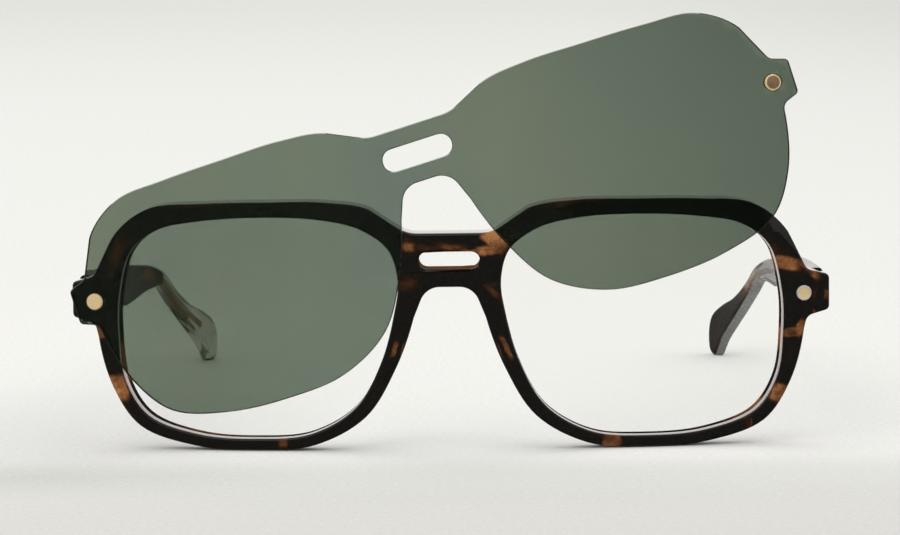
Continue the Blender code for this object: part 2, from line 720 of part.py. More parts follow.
def build_hinges(tilt, folds, steel):
    """Leaves sunk in the endpieces and temples, with their knuckles, and the screws."""
    middle = KNUCKLE_HEIGHT / 2
    top = hinge_half()
    for label, side in SIDES:
        axis = hinge_place(side)
        on_front = front_place(side * HINGE_ACROSS, ENDPIECE_UP)
        back = FRONT_THICKNESS
        plate = block(
            (-FRONT_LEAF_LENGTH / 2, back - LEAF_THICKNESS, -LEAF_HEIGHT / 2),
            (FRONT_LEAF_LENGTH / 2, back, LEAF_HEIGHT / 2),
        )
        leaf = named_object(f"{label}_front_hinge_leaf", plate, steel)
        leaf.parent = tilt
        leaf.matrix_local = on_front
        reach = KNUCKLE_RADIUS + KNUCKLE_CLEAR + KNUCKLE_ROOT
        ends = (("lower", -top, -top + KNUCKLE_HEIGHT), ("upper", top - KNUCKLE_HEIGHT, top))
        for place, low, high in ends:
            tool = named_object(f"{label}_{place}_front_knuckle", knuckle(reach, low, high))
            apply_tool(leaf, tool, 'UNION')
            tool.matrix_local = Matrix.Translation((0, back + KNUCKLE_CLEAR + KNUCKLE_RADIUS, 0))
        inner = TEMPLE_OUT + LEAF_PLAY / 2
        low, high = outwards(side, inner, inner + LEAF_THICKNESS)
        plate = block(
            (low, TEMPLE_LEAF_START, -LEAF_HEIGHT / 2),
            (high, TEMPLE_LEAF_LENGTH, LEAF_HEIGHT / 2),
        )
        leaf = named_object(f"{label}_temple_hinge_leaf", plate, steel)
        leaf.parent = folds[label]
        reach = inner + KNUCKLE_ROOT
        tool = named_object(f"{label}_temple_knuckle", knuckle(reach, -middle, middle))
        apply_tool(leaf, tool, 'UNION')
        tool.matrix_local = Matrix.Rotation(side * pi / 2, 4, 'Z')
        head = top + SCREW_HEAD_GAP
        profile = [
            (0, -top - SCREW_TAIL),
            (SCREW_RADIUS, -top - SCREW_TAIL),
            (SCREW_RADIUS, head),
            (SCREW_HEAD_RADIUS, head),
            (SCREW_HEAD_RADIUS, head + SCREW_HEAD_HEIGHT),
            (0, head + SCREW_HEAD_HEIGHT),
        ]
        screw = named_object(f"{label}_hinge_screw", turned(profile, SCREW_SEGMENTS), steel)
        screw.parent = tilt
        screw.matrix_local = axis @ Matrix.Rotation(pi / 2, 4, 'X')
        slot_low = head + SCREW_HEAD_HEIGHT - SCREW_SLOT_DEPTH
        slot = block((-2 * MM, slot_low, -SCREW_SLOT / 2), (2 * MM, slot_low + MM, SCREW_SLOT / 2))
        apply_tool(screw, named_object(f"{label}_screw_slot", slot), 'DIFFERENCE')


def temple_path(share, on_tip):
    """A point on the temple's centre line from the side, and the way up from it there."""
    if not on_tip:
        return Vector((share * TEMPLE_STRAIGHT, 0)), Vector((0, 1))
    down = Vector((cos(TIP_ANGLE), -sin(TIP_ANGLE)))
    up = Vector((sin(TIP_ANGLE), cos(TIP_ANGLE)))
    return Vector((TEMPLE_STRAIGHT, 0)) + down * share * TIP_LENGTH, up


def temple_loop():
    """The temple's outline from the side, clockwise with the hinge at the left."""
    over = []
    under = []
    for stations, on_tip in ((STRAIGHT_STATIONS, False), (TIP_STATIONS, True)):
        for share, above, below in stations:
            point, up = temple_path(share, on_tip)
            over.append(point + up * above)
            under.append(point - up * below)
    for share, above in TIP_END:
        point, up = temple_path(share, True)
        over.append(point + up * above)
    run = over + under[::-1]
    return smooth_curve(run, TEMPLE_STEPS, closed=False)


def temple_drop():
    """How far the temple slopes for its tip to reach the plane that the rims stand on."""
    lean = Matrix.Rotation(FRONT_TILT, 3, 'X')
    rims = min((lean @ front_point(p.x, p.y, FRONT_EDGE)).z for p in front_loop(rim_loop()))
    height = (lean @ hinge_place(1).translation).z - rims
    slopes = []
    for point in temple_loop():
        reach = hypot(point.x, point.y)
        if reach > height:
            slopes.append(asin(height / reach) + atan2(point.y, point.x))
    return min(slopes)


def temple_point(side, drop):
    """A function that bends the temple's side view inwards and slopes it down."""
    length = TEMPLE_STRAIGHT + TIP_LENGTH * cos(TIP_ANGLE)
    slope = Matrix.Rotation(-drop, 4, 'X')

    def place(along, up, depth):
        share = max(0.0, along / length)
        wrap = TEMPLE_WRAP * share ** WRAP_POWER
        thin = 1 + (TIP_THICKNESS / TEMPLE_THICKNESS - 1) * min(1.0, share) ** 2
        return slope @ Vector((side * (TEMPLE_OUT + depth * thin - wrap), along, up))

    return place


def build_temples(folds, drop, acetate):
    """Acetate temples, with a pocket for the leaf and a bore for the core wire."""
    wide = TEMPLE_THICKNESS
    edge = TEMPLE_EDGE
    soft = 0.3 * edge
    wall = [(-edge, 0), (-soft, soft), (0, edge), (0, wide - edge), (-soft, wide - soft), (-edge, wide)]
    mitre = atan(HINGE_ACROSS / FRONT_RADIUS)
    for label, side in SIDES:
        place = temple_point(side, drop)
        bm = sheet([(temple_loop(), wall)], place)
        through = Vector((0, -KNUCKLE_RADIUS - KNUCKLE_CLEAR + TEMPLE_GAP, 0))
        cut = bmesh.ops.bisect_plane(
            bm,
            geom=bm.verts[:] + bm.edges[:] + bm.faces[:],
            plane_co=through,
            plane_no=Vector((-side * sin(mitre), cos(mitre), 0)),
            clear_inner=True,
        )
        rim = [item for item in cut["geom_cut"] if isinstance(item, bmesh.types.BMEdge)]
        bmesh.ops.edgeloop_fill(bm, edges=rim)
        temple = named_object(f"{label}_temple", bm, acetate)
        temple.parent = folds[label]
        half = LEAF_HEIGHT / 2 + LEAF_PLAY
        low, high = outwards(side, TEMPLE_OUT - MM, TEMPLE_OUT + LEAF_THICKNESS + 1.5 * LEAF_PLAY)
        pocket = block((low, -3 * MM, -half), (high, TEMPLE_LEAF_LENGTH + LEAF_PLAY, half))
        apply_tool(temple, named_object(f"{label}_temple_pocket", pocket), 'DIFFERENCE')
        core = core_wire(place, CORE_PLAY, CORE_BORE_START)
        apply_tool(temple, named_object(f"{label}_core_bore", core), 'DIFFERENCE')


def core_route(start, beyond):
    """Points from the side along the temple's middle, each with the way up, from a start distance.

    beyond is how far past the wire's own end the route goes.
    """
    route = [temple_path(start / TEMPLE_STRAIGHT, False)]
    for stations, on_tip in ((STRAIGHT_STATIONS, False), (TIP_STATIONS, True)):
        for share, above, below in stations:
            point, up = temple_path(share, on_tip)
            if point.x > start and not (on_tip and share > CORE_END):
                route.append((point + up * (above - below) / 2, up))
    end, up = temple_path(CORE_END + beyond / TIP_LENGTH, True)
    return route + [(end + up * CORE_END_RISE, up)]


def core_wire(place, grow, start):
    """A flat wire along the temple's middle, from a start to near the tip's end."""
    bm = bmesh.new()
    middle = TEMPLE_THICKNESS / 2
    half_wide = CORE_WIDTH / 2 + grow
    half_tall = CORE_HEIGHT / 2 + grow
    rings = []
    for point, up in core_route(start, grow):
        ring = []
        for high, deep in ((1, -1), (1, 1), (-1, 1), (-1, -1)):
            spot = point + up * high * half_tall
            ring.append(bm.verts.new(place(spot.x, spot.y, middle + deep * half_wide)))
        rings.append(ring)
    for upper, lower in zip(rings, rings[1:]):
        for i in range(4):
            bm.faces.new((upper[i - 1], upper[i], lower[i], lower[i - 1]))
    bm.faces.new(rings[0])
    bm.faces.new(rings[-1])
    return bm


def build_cores(folds, drop, steel):
    for label, side in SIDES:
        bm = core_wire(temple_point(side, drop), 0.0, CORE_START)
        wire = named_object(f"{label}_core_wire", bm, steel)
        wire.parent = folds[label]


def stand_on_plane(root):
    """Move the whole thing so that its box's bottom middle is the origin."""
    bpy.context.view_layer.update()
    graph = bpy.context.evaluated_depsgraph_get()
    corners = []
    for item in bpy.context.scene.objects:
        if item.type == 'MESH' and not item.hide_render:
            solid = item.evaluated_get(graph)
            corners += [item.matrix_world @ vert.co for vert in solid.data.vertices]
    low = [min(c[k] for c in corners) for k in range(3)]
    high = [max(c[k] for c in corners) for k in range(3)]
    root.location = (-(low[0] + high[0]) / 2, -(low[1] + high[1]) / 2, -low[2])


def main():
    start_empty()
    acetate = finish("tortoise_acetate", (0.035, 0.018, 0.010), 0.12)
    clear = finish("clear_demo_lens", (0.95, 0.96, 0.95), 0.03, transmission=0.95)
    tinted = finish("green_sun_lens", (0.13, 0.17, 0.13), 0.05, transmission=0.7)
    gold = finish("pale_gold", (0.75, 0.58, 0.33), 0.3, metallic=1.0)
    steel = finish("hinge_steel", (0.62, 0.60, 0.57), 0.3, metallic=1.0)
    magnetic = finish("sintered_magnet", (0.22, 0.14, 0.10), 0.45, metallic=0.6)
    root = empty("glasses", Matrix())
    tilt = empty("front_tilt", Matrix.Rotation(FRONT_TILT, 4, 'X'), root)
    drop = temple_drop() + FRONT_TILT
    folds = {label: empty(f"{label}_fold", hinge_place(side), tilt) for label, side in SIDES}
    build_front(tilt, acetate)
    build_pads(tilt, acetate)
    build_lenses(tilt, clear)
    build_frame_magnets(tilt, gold, magnetic)
    build_clip(tilt, tinted, gold, magnetic)
    build_hinges(tilt, folds, steel)
    build_temples(folds, drop, acetate)
    build_cores(folds, drop, steel)
    stand_on_plane(root)


main()
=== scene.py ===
import json
from math import atan, cos, pi, radians, sin, sqrt, tan

import bpy
from mathutils import Matrix, Vector


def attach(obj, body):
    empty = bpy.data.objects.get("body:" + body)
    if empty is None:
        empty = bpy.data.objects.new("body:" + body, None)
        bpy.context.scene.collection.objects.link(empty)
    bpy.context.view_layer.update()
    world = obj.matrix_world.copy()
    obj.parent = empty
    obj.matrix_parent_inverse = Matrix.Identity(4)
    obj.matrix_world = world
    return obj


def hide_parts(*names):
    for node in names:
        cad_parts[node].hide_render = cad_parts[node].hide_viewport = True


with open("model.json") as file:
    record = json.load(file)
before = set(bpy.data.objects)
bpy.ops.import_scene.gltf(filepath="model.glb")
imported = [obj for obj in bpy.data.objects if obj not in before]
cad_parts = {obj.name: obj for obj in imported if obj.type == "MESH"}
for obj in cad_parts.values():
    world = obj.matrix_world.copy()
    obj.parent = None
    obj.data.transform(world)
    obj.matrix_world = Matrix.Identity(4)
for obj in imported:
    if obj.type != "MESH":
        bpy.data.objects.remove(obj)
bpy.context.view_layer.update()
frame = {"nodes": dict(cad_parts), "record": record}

MM = 0.001
SIDES = (("left", -1), ("right", 1))
# Points this near a plane lie on it, and points this near each other are merged
TOUCH = 0.01 * MM
SEAM = 0.000002

# Where the glasses stand: the front's drawing starts at this point and leans forward two degrees
STAND = Matrix.Translation((0.1206 * MM, -66.4126 * MM, -0.0957 * MM))
TILT = STAND @ Matrix.Rotation(radians(2.0), 4, 'X')

# Lenses and the acetate front, as drawn flat: u across, w up, n back from the front face
LENS_WIDTH = 56.5 * MM
LENS_HEIGHT = 45.2 * MM
LENS_GAP = 18.8 * MM
LENS_IN_RIM = 0.7 * MM
LENS_SET_BACK = 1.1 * MM
LENS_THICKNESS = 1.8 * MM
LENS_PLAY = 0.05 * MM
LENS_ROUND = 0.12 * MM
FRONT_THICKNESS = 4.8 * MM
FRONT_ROUND = 0.42 * MM
FRONT_RADIUS = 330 * MM
RIM_TOP = 3.05 * MM
RIM_CORNER = 4.55 * MM
RIM_SIDE = 4.2 * MM
RIM_LOWER = 2.75 * MM
RIM_BOTTOM = 2.4 * MM
RIM_NOSE = 3.5 * MM
RIM_BROW = 4.4 * MM
LENS_TOP = RIM_BOTTOM - LENS_IN_RIM + LENS_HEIGHT
BRIDGE_TOP = LENS_TOP - 3.85 * MM
BRIDGE_BAR = LENS_GAP - 2.2 * MM
BRIDGE_FILLET = 7.0 * MM
ARCH_TOP = BRIDGE_TOP - 10.6 * MM
ARCH_WIDTH = LENS_GAP - 9.6 * MM
ARCH_FILLET = 4.0 * MM
SLOT_WIDTH = LENS_GAP - 5.5 * MM
SLOT_HEIGHT = 3.8 * MM
SLOT_UP = BRIDGE_TOP - 5.35 * MM
SLOT_PUNCH = (SLOT_WIDTH - 1.25 * MM, SLOT_HEIGHT - 0.4 * MM)
SLOT_ROUND = 0.5 * MM
ENDPIECE_UP = LENS_TOP - 17.4 * MM
ENDPIECE_HEIGHT = 6.9 * MM
ENDPIECE_FLARE = 1.2 * MM
ENDPIECE_ROOT = 4.4 * MM
ENDPIECE_FILLET = 1.9 * MM
ENDPIECE_CORNER = 1.0 * MM
FRONT_WIDTH = LENS_GAP + 2 * (LENS_WIDTH - LENS_IN_RIM + RIM_SIDE + 5.0 * MM)
MAGNET_ACROSS = FRONT_WIDTH / 2 - 5.1 * MM
MAGNET_BORE = 1.62 * MM
MAGNET_BORE_DEPTH = 2.34 * MM
OVERCUT = 1.0 * MM
HINGE_POCKET = (5.7 * MM, 2.3 * MM, 5.3 * MM)
BEND_PITCH = 2.0 * MM

# The sun lens
CLIP_THICKNESS = 1.1 * MM
CLIP_STANDOFF = 1.0 * MM
CLIP_ROUND = 0.16 * MM
CLIP_HOLE = 1.6 * MM
CLIP_SLOT_MARGIN = 0.6 * MM
CLIP_SLOT_RISE = 0.5 * MM
CLIP_SWING = radians(17.75)
# How far out from the middle the edges that look up get their painted highlight
CLIP_EDGE_HALF = 60 * MM

# The facet on the front's upper outer corner: two points of its edge on the face, one on the wall
FACET_FIRST = (63.05 * MM, 43.30 * MM)
FACET_LAST = (70.81 * MM, 34.42 * MM)
FACET_WALL = (64.24 * MM, 44.36 * MM)
FACET_DEPTH = 0.8 * MM
MILLING_BLOCK = (30 * MM, 12 * MM, 6 * MM)
MILLING_REACH = 3 * MM

# Where the finishes and the painted highlights change on the front: depths behind its face, and the
# limits of its parts
THIN_BAND = 0.95 * MM
WIDE_BAND = 2.3 * MM
BACK_EDGE = 4.1 * MM
WALL_REACH = 1.0 * MM
BRIDGE_TOP_HALF = 9.5 * MM
BRIDGE_TOP_LOWEST = BRIDGE_TOP - 0.7 * MM
SHADED_FROM = -30 * MM
SHADED_ABOVE = 16 * MM

# How far a face looks along an axis, 1 being straight along it, where its finish and any painted
# highlight or painted shade on it depend on that
FACING = 0.9
SQUARE_ON = 0.97
ASIDE = 0.25
SLOT_UPWARD = 0.5
CLIP_UPWARD = 0.35
TIP_DOWNWARD = -0.45

# The lens outline, clockwise from the top: across and up as shares of half the lens, rim width
LENS_SHAPE = (
    (-0.06, 1.000, RIM_TOP),
    (0.39, 0.965, RIM_TOP + 0.3 * (RIM_CORNER - RIM_TOP)),
    (0.70, 0.882, RIM_CORNER),
    (0.90, 0.680, RIM_CORNER),
    (0.99, 0.279, RIM_CORNER),
    (1.00, -0.080, RIM_SIDE),
    (0.955, -0.500, RIM_LOWER + 0.1 * (RIM_SIDE - RIM_LOWER)),
    (0.795, -0.802, RIM_LOWER),
    (0.44, -0.965, RIM_BOTTOM),
    (0.03, -1.000, RIM_BOTTOM),
    (-0.365, -0.952, RIM_BOTTOM),
    (-0.690, -0.712, RIM_LOWER),
    (-0.874, -0.313, 0.5 * (RIM_LOWER + RIM_NOSE)),
    (-0.971, 0.122, RIM_NOSE + 0.5 * (RIM_BROW - RIM_NOSE)),
    (-1.00, 0.414, RIM_BROW),
    (-0.936, 0.699, RIM_BROW),
    (-0.735, 0.890, RIM_BROW),
    (-0.45, 0.978, RIM_TOP + 0.4 * (RIM_BROW - RIM_TOP)),
)
CURVE_STEPS = 8
# The points of that outline at which the front's own outline leaves the rim and joins it again
BROW, CORNER, SIDE, NOSE = 16, 3, 5, 13

# Temples: the straight run from the hinge and the tip that turns down behind the ear
STRAIGHT = 96.0 * MM
TIP_LENGTH = 36.0 * MM
TIP_ANGLE = radians(32)
TEMPLE_THICKNESS = 3.8 * MM
TIP_THICKNESS = 2.4 * MM
TEMPLE_HEIGHT = 8.8 * MM
NECK_HEIGHT = 3.4 * MM
PADDLE_HEIGHT = 7.2 * MM
TEMPLE_OUT = 1.5 * MM
TEMPLE_WRAP = 15.5 * MM
WRAP_POWER = 3.8
TEMPLE_SLOPE = -0.1109689
TEMPLE_ROUND = 0.85 * MM
TEMPLE_PITCH = 2.5 * MM
HINGE_BACK = 1.6 * MM
MITRE_AHEAD = 1.3 * MM
SPLICE = {"left": 95.0 * MM, "right": 71.0 * MM}
SPLICE_SLANT = (1.0, -0.12, 0.0)
# Places along the run as a share of it, with the outline's height above and below its middle line
STRAIGHT_STATIONS = (
    (-0.05, 0.45 * TEMPLE_HEIGHT, 0.45 * TEMPLE_HEIGHT),
    (0.30, 0.46 * TEMPLE_HEIGHT, 0.52 * TEMPLE_HEIGHT),
    (0.58, 0.43 * TEMPLE_HEIGHT, 0.57 * TEMPLE_HEIGHT),
    (0.71, 0.36 * TEMPLE_HEIGHT, 0.51 * TEMPLE_HEIGHT),
    (0.82, 0.80 * NECK_HEIGHT, 1.00 * NECK_HEIGHT),
    (0.92, 0.60 * NECK_HEIGHT, 0.80 * NECK_HEIGHT),
)
TIP_STATIONS = (
    (0.05, 0.30 * NECK_HEIGHT, 0.60 * NECK_HEIGHT),
    (0.25, 0.44 * NECK_HEIGHT, 0.46 * NECK_HEIGHT),
    (0.50, 0.37 * PADDLE_HEIGHT, 0.20 * PADDLE_HEIGHT),
    (0.68, 0.61 * PADDLE_HEIGHT, 0.22 * PADDLE_HEIGHT),
    (0.81, 0.68 * PADDLE_HEIGHT, 0.28 * PADDLE_HEIGHT),
    (0.87, 0.57 * PADDLE_HEIGHT, 0.37 * PADDLE_HEIGHT),
)
TIP_END = (
    (0.935, 0.22 * PADDLE_HEIGHT),
    (0.965, -0.18 * PADDLE_HEIGHT),
    (0.935, -0.45 * PADDLE_HEIGHT),
)

# Half sections of the discs in millimetres: radius, and depth behind the front's face
CAP_SECTION = (
    (0, -0.245), (1.16, -0.245), (1.20, -0.262), (1.24, -0.292), (1.30, -0.30), (1.38, -0.285),
    (1.455, -0.235), (1.49, -0.165), (1.50, -0.08), (1.50, 0.5), (0, 0.5),
)
CLIP_DISC_SECTION = (
    (0, -2.35), (1.36, -2.35), (1.45, -2.335), (1.52, -2.28), (1.55, -2.20), (1.55, -0.6),
    (1.285, -0.6), (1.285, -2.265), (0, -2.265),
)
CLIP_RING_SECTION = (
    (1.275, -0.6), (1.275, -2.26), (1.30, -2.33), (1.36, -2.35), (1.45, -2.335), (1.52, -2.28),
    (1.55, -2.20), (1.55, -0.6), (1.275, -0.6),
)
CLIP_CORE_SECTION = (
    (0, -2.25), (1.10, -2.25), (1.18, -2.235), (1.225, -2.19), (1.225, -0.6), (0, -0.6),
)
CAP_FACE = 1.19 * MM

# The camera, set to the photograph's view
CAMERA_TARGET = (0.271 * MM, -66.42 * MM, 36.1 * MM)
CAMERA_AWAY = 0.95
CAMERA_TURN, CAMERA_RISE, CAMERA_ROLL = radians(1.2), radians(6.8), radians(-0.75)
FOCAL_LENGTH = 195.13


def smooth_curve(points, steps, closed=True):
    """Points on a centripetal Catmull-Rom curve through the given ones."""
    points = [Vector(p) for p in points]
    if not closed:
        points = [2 * points[0] - points[1]] + points + [2 * points[-1] - points[-2]]
    spans = len(points) if closed else len(points) - 3
    curve = []
    for i in range(spans):
        four = [points[(i + k - (1 if closed else 0)) % len(points)] for k in range(4)]
        knots = [0.0]
        for a, b in zip(four, four[1:]):
            knots.append(knots[-1] + sqrt((b - a).length))
        for step in range(steps):
            t = knots[1] + (knots[2] - knots[1]) * step / steps
            level = four
            for span, starts in ((1, (0, 1, 2)), (2, (0, 1)), (1, (1,))):
                level = [
                    a.lerp(b, (t - knots[k]) / (knots[k + span] - knots[k]))
                    for a, b, k in zip(level, level[1:], starts)
                ]
            curve.append(level[0])
    if not closed:
        curve.append(points[-2])
    return curve


def offset_loop(points, distance):
    """A closed clockwise loop moved outwards by a distance."""
    moved = []
    for i, point in enumerate(points):
        back = (point - points[i - 1]).normalized()
        ahead = (points[(i + 1) % len(points)] - point).normalized()
        mean = (back + ahead).normalized()
        moved.append(point + Vector((-mean.y, mean.x)) * distance / max(0.5, mean.dot(ahead)))
    return moved


def corner_arc(before, corner, after, radius, steps):
    """The round of a corner between two straight runs."""
    back = (before - corner).normalized()
    ahead = (after - corner).normalized()
    half = back.angle(ahead) / 2
    run = radius / tan(half)
    middle = corner + (back + ahead).normalized() * radius / sin(half)
    first = corner + back * run - middle
    sweep = first.angle_signed(corner + ahead * run - middle)
    return [middle + Matrix.Rotation(-sweep * step / steps, 2) @ first for step in range(steps + 1)]


def lens_points():
    """The corners that the right lens's outline is drawn through."""
    middle = Vector(((LENS_GAP + LENS_WIDTH) / 2, RIM_BOTTOM - LENS_IN_RIM + LENS_HEIGHT / 2))
    return [middle + Vector((a * LENS_WIDTH / 2, b * LENS_HEIGHT / 2)) for a, b, _ in LENS_SHAPE]


def lens_loop():
    """The right lens's outline, clockwise from the top."""
    return smooth_curve(lens_points(), CURVE_STEPS)


def rim_loop(top=0.0, side=0.0, bottom=0.0, nose=0.0):
    """The rim's outer edge, drawn in by the given amounts where it faces each way."""
    wide = offset_loop(lens_loop(), 1.0)
    corners = []
    for i, (_, _, width) in enumerate(LENS_SHAPE):
        base = lens_points()[i]
        outward = (wide[CURVE_STEPS * i] - base).normalized()
        inset = outward.x ** 2 * (side if outward.x > 0 else nose)
        inset += outward.y ** 2 * (top if outward.y > 0 else bottom)
        corners.append(base + outward * (width - LENS_IN_RIM - inset))
    return smooth_curve(corners, CURVE_STEPS)


def front_loop(rim, end_inset=0.0, bridge_top=BRIDGE_TOP, arch_top=ARCH_TOP):
    """The whole front's outline round a right rim, clockwise from the top of the bridge."""
    over = rim[BROW * CURVE_STEPS:] + rim[:CORNER * CURVE_STEPS + 1]
    under = rim[SIDE * CURVE_STEPS:NOSE * CURVE_STEPS + 1]
    end = FRONT_WIDTH / 2 - end_inset
    root = FRONT_WIDTH / 2 - ENDPIECE_ROOT
    tall = ENDPIECE_HEIGHT / 2
    blocks = [
        (Vector((root, ENDPIECE_UP + tall + ENDPIECE_FLARE)), ENDPIECE_FILLET),
        (Vector((end, ENDPIECE_UP + tall)), ENDPIECE_CORNER),
        (Vector((end, ENDPIECE_UP - tall)), ENDPIECE_CORNER),
        (Vector((root, ENDPIECE_UP - tall - ENDPIECE_FLARE)), ENDPIECE_FILLET),
    ]
    bar_end = Vector((BRIDGE_BAR / 2, bridge_top))
    half = corner_arc(Vector((0, bridge_top)), bar_end, over[0], BRIDGE_FILLET, steps=10)
    half += over
    chain = [over[-1]] + [point for point, _ in blocks] + [under[0]]
    for i, (point, radius) in enumerate(blocks):
        half += corner_arc(chain[i], point, chain[i + 2], radius, steps=7)
    half += under
    arch_end = Vector((ARCH_WIDTH / 2, arch_top))
    half += corner_arc(under[-1], arch_end, Vector((0, arch_top)), ARCH_FILLET, steps=12)
    return half + mirror_loop(half)


def mirror_loop(loop):
    """The same outline on the other side, still clockwise."""
    return [Vector((-p.x, p.y)) for p in reversed(loop)]


def slot_loop(width, height, up, steps=12):
    """A slot with round ends."""
    reach = width / 2 - height / 2
    loop = []
    for middle, start in ((reach, pi / 2), (-reach, -pi / 2)):
        for step in range(steps + 1):
            angle = start - pi * step / steps
            loop.append(Vector((middle + height / 2 * cos(angle), up + height / 2 * sin(angle))))
    return loop


def ring_loop(middle, radius, steps=48):
    """A round hole's outline."""
    turns = [2 * pi * k / steps for k in range(steps)]
    return [Vector(middle) + Vector((radius * cos(a), radius * sin(a))) for a in turns]


def pick_none():
    """Leave nothing selected."""
    bpy.ops.object.select_all(action='DESELECT')


def pick(piece):
    """Select one piece alone."""
    pick_none()
    piece.select_set(True)
    bpy.context.view_layer.objects.active = piece


def into_edit(piece):
    """Start editing a piece, with all of its mesh selected."""
    pick(piece)
    bpy.ops.object.mode_set(mode='EDIT')
    bpy.ops.mesh.select_all(action='SELECT')


def out_of_edit():
    bpy.ops.object.mode_set(mode='OBJECT')


def face_out(piece):
    """Close seams and turn every face outwards."""
    into_edit(piece)
    bpy.ops.mesh.remove_doubles(threshold=SEAM)
    bpy.ops.mesh.normals_make_consistent(inside=False)
    out_of_edit()


def settle(piece, angle=35):
    """Put a piece's place into its mesh and shade it smooth up to an angle."""
    pick(piece)
    bpy.ops.object.transform_apply(location=True, rotation=True, scale=True)
    bpy.ops.object.shade_smooth_by_angle(angle=radians(angle))
    return piece


def apply_all(piece):
    """Apply the piece's modifiers in their order."""
    pick(piece)
    for modifier in list(piece.modifiers):
        bpy.ops.object.modifier_apply(modifier=modifier.name)


def cut_sheet(name, loops, thickness, edge, rounds=3):
    """Cut a flat sheet with rounded edges to an outline and its holes, lying on its back."""
    drawing = bpy.data.curves.new(name, 'CURVE')
    drawing.dimensions = '2D'
    drawing.fill_mode = 'BOTH'
    for loop in loops:
        line = drawing.splines.new('POLY')
        line.points.add(len(loop) - 1)
        for spot, point in zip(line.points, loop):
            spot.co = (point.x, point.y, 0.0, 1.0)
        line.use_cyclic_u = True
    drawing.extrude = thickness / 2 - edge
    drawing.bevel_depth = edge
    drawing.bevel_resolution = rounds
    drawing.offset = -edge
    piece = bpy.data.objects.new(name, drawing)
    bpy.context.scene.collection.objects.link(piece)
    pick(piece)
    bpy.ops.object.convert(target='MESH')
    piece = bpy.context.view_layer.objects.active
    piece.data.name = name
    face_out(piece)
    return piece


def score(piece, pitch):
    """Cut the faces across at a pitch along the piece, so that the sheet can be bent smoothly."""
    reach = [v.co.x for v in piece.data.vertices]
    low, high = min(reach), max(reach)
    count = round((high - low) / pitch)
    into_edit(piece)
    for k in range(1, count):
        place = low + (high - low) * k / count
        bpy.ops.mesh.select_all(action='SELECT')
        bpy.ops.mesh.bisect(plane_co=(place, 0, 0), plane_no=(1, 0, 0))
    out_of_edit()


def form(piece, place):
    """Press the flat piece into its final shape: place(x, y, z) says where each point goes."""
    for vertex in piece.data.vertices:
        vertex.co = place(*vertex.co)
    piece.data.update()
    face_out(piece)


def even_gloss(piece):
    """Let the large faces set the shading, so that the gloss stays flat up to a rounded edge."""
    modifier = piece.modifiers.new("even gloss", 'WEIGHTED_NORMAL')
    modifier.mode = 'FACE_AREA'
    modifier.keep_sharp = True
    apply_all(piece)
    return piece


def cut_away(piece, *cutters):
    """Take the cutters' shapes out of a piece."""
    for cutter in cutters:
        modifier = piece.modifiers.new("cut", 'BOOLEAN')
        modifier.operation = 'DIFFERENCE'
        modifier.solver = 'EXACT'
        modifier.object = cutter
    apply_all(piece)
    for cutter in cutters:
        bpy.data.objects.remove(cutter, do_unlink=True)


def edges_by(piece, test):
    """Select the edges whose two ends pass a test, with the piece in edit mode after it."""
    pick(piece)
    bpy.ops.object.mode_set(mode='EDIT')
    bpy.ops.mesh.select_mode(type='EDGE')
    bpy.ops.mesh.select_all(action='DESELECT')
    bpy.ops.object.mode_set(mode='OBJECT')
    mesh = piece.data
    for edge in mesh.edges:
        edge.select = all(test(mesh.vertices[k].co) for k in edge.vertices)
    bpy.ops.object.mode_set(mode='EDIT')


def bent(u, w, n):
    """The front's drawing, bent about an upright axis."""
    lean = atan(u / FRONT_RADIUS)
    return Vector((u - n * sin(lean), u * u / (2 * FRONT_RADIUS) + n * cos(lean), w))


def bent_place(u, w, n=0.0):
    """A frame on the bent front: x along it, y straight back, z up."""
    return Matrix.Translation(bent(u, w, n)) @ Matrix.Rotation(atan(u / FRONT_RADIUS), 4, 'Z')


def on_front(front_depth):
    """Bend a sheet whose middle lies this far behind the front face."""
    return lambda x, y, z: TILT @ bent(x, y, front_depth - z)


# The clip is turned up about the middle of its left disc
CLIP_AT = bent_place(-MAGNET_ACROSS, ENDPIECE_UP)
CLIP_TURN = TILT @ CLIP_AT @ Matrix.Rotation(CLIP_SWING, 4, 'Y').inverted() @ CLIP_AT.inverted()


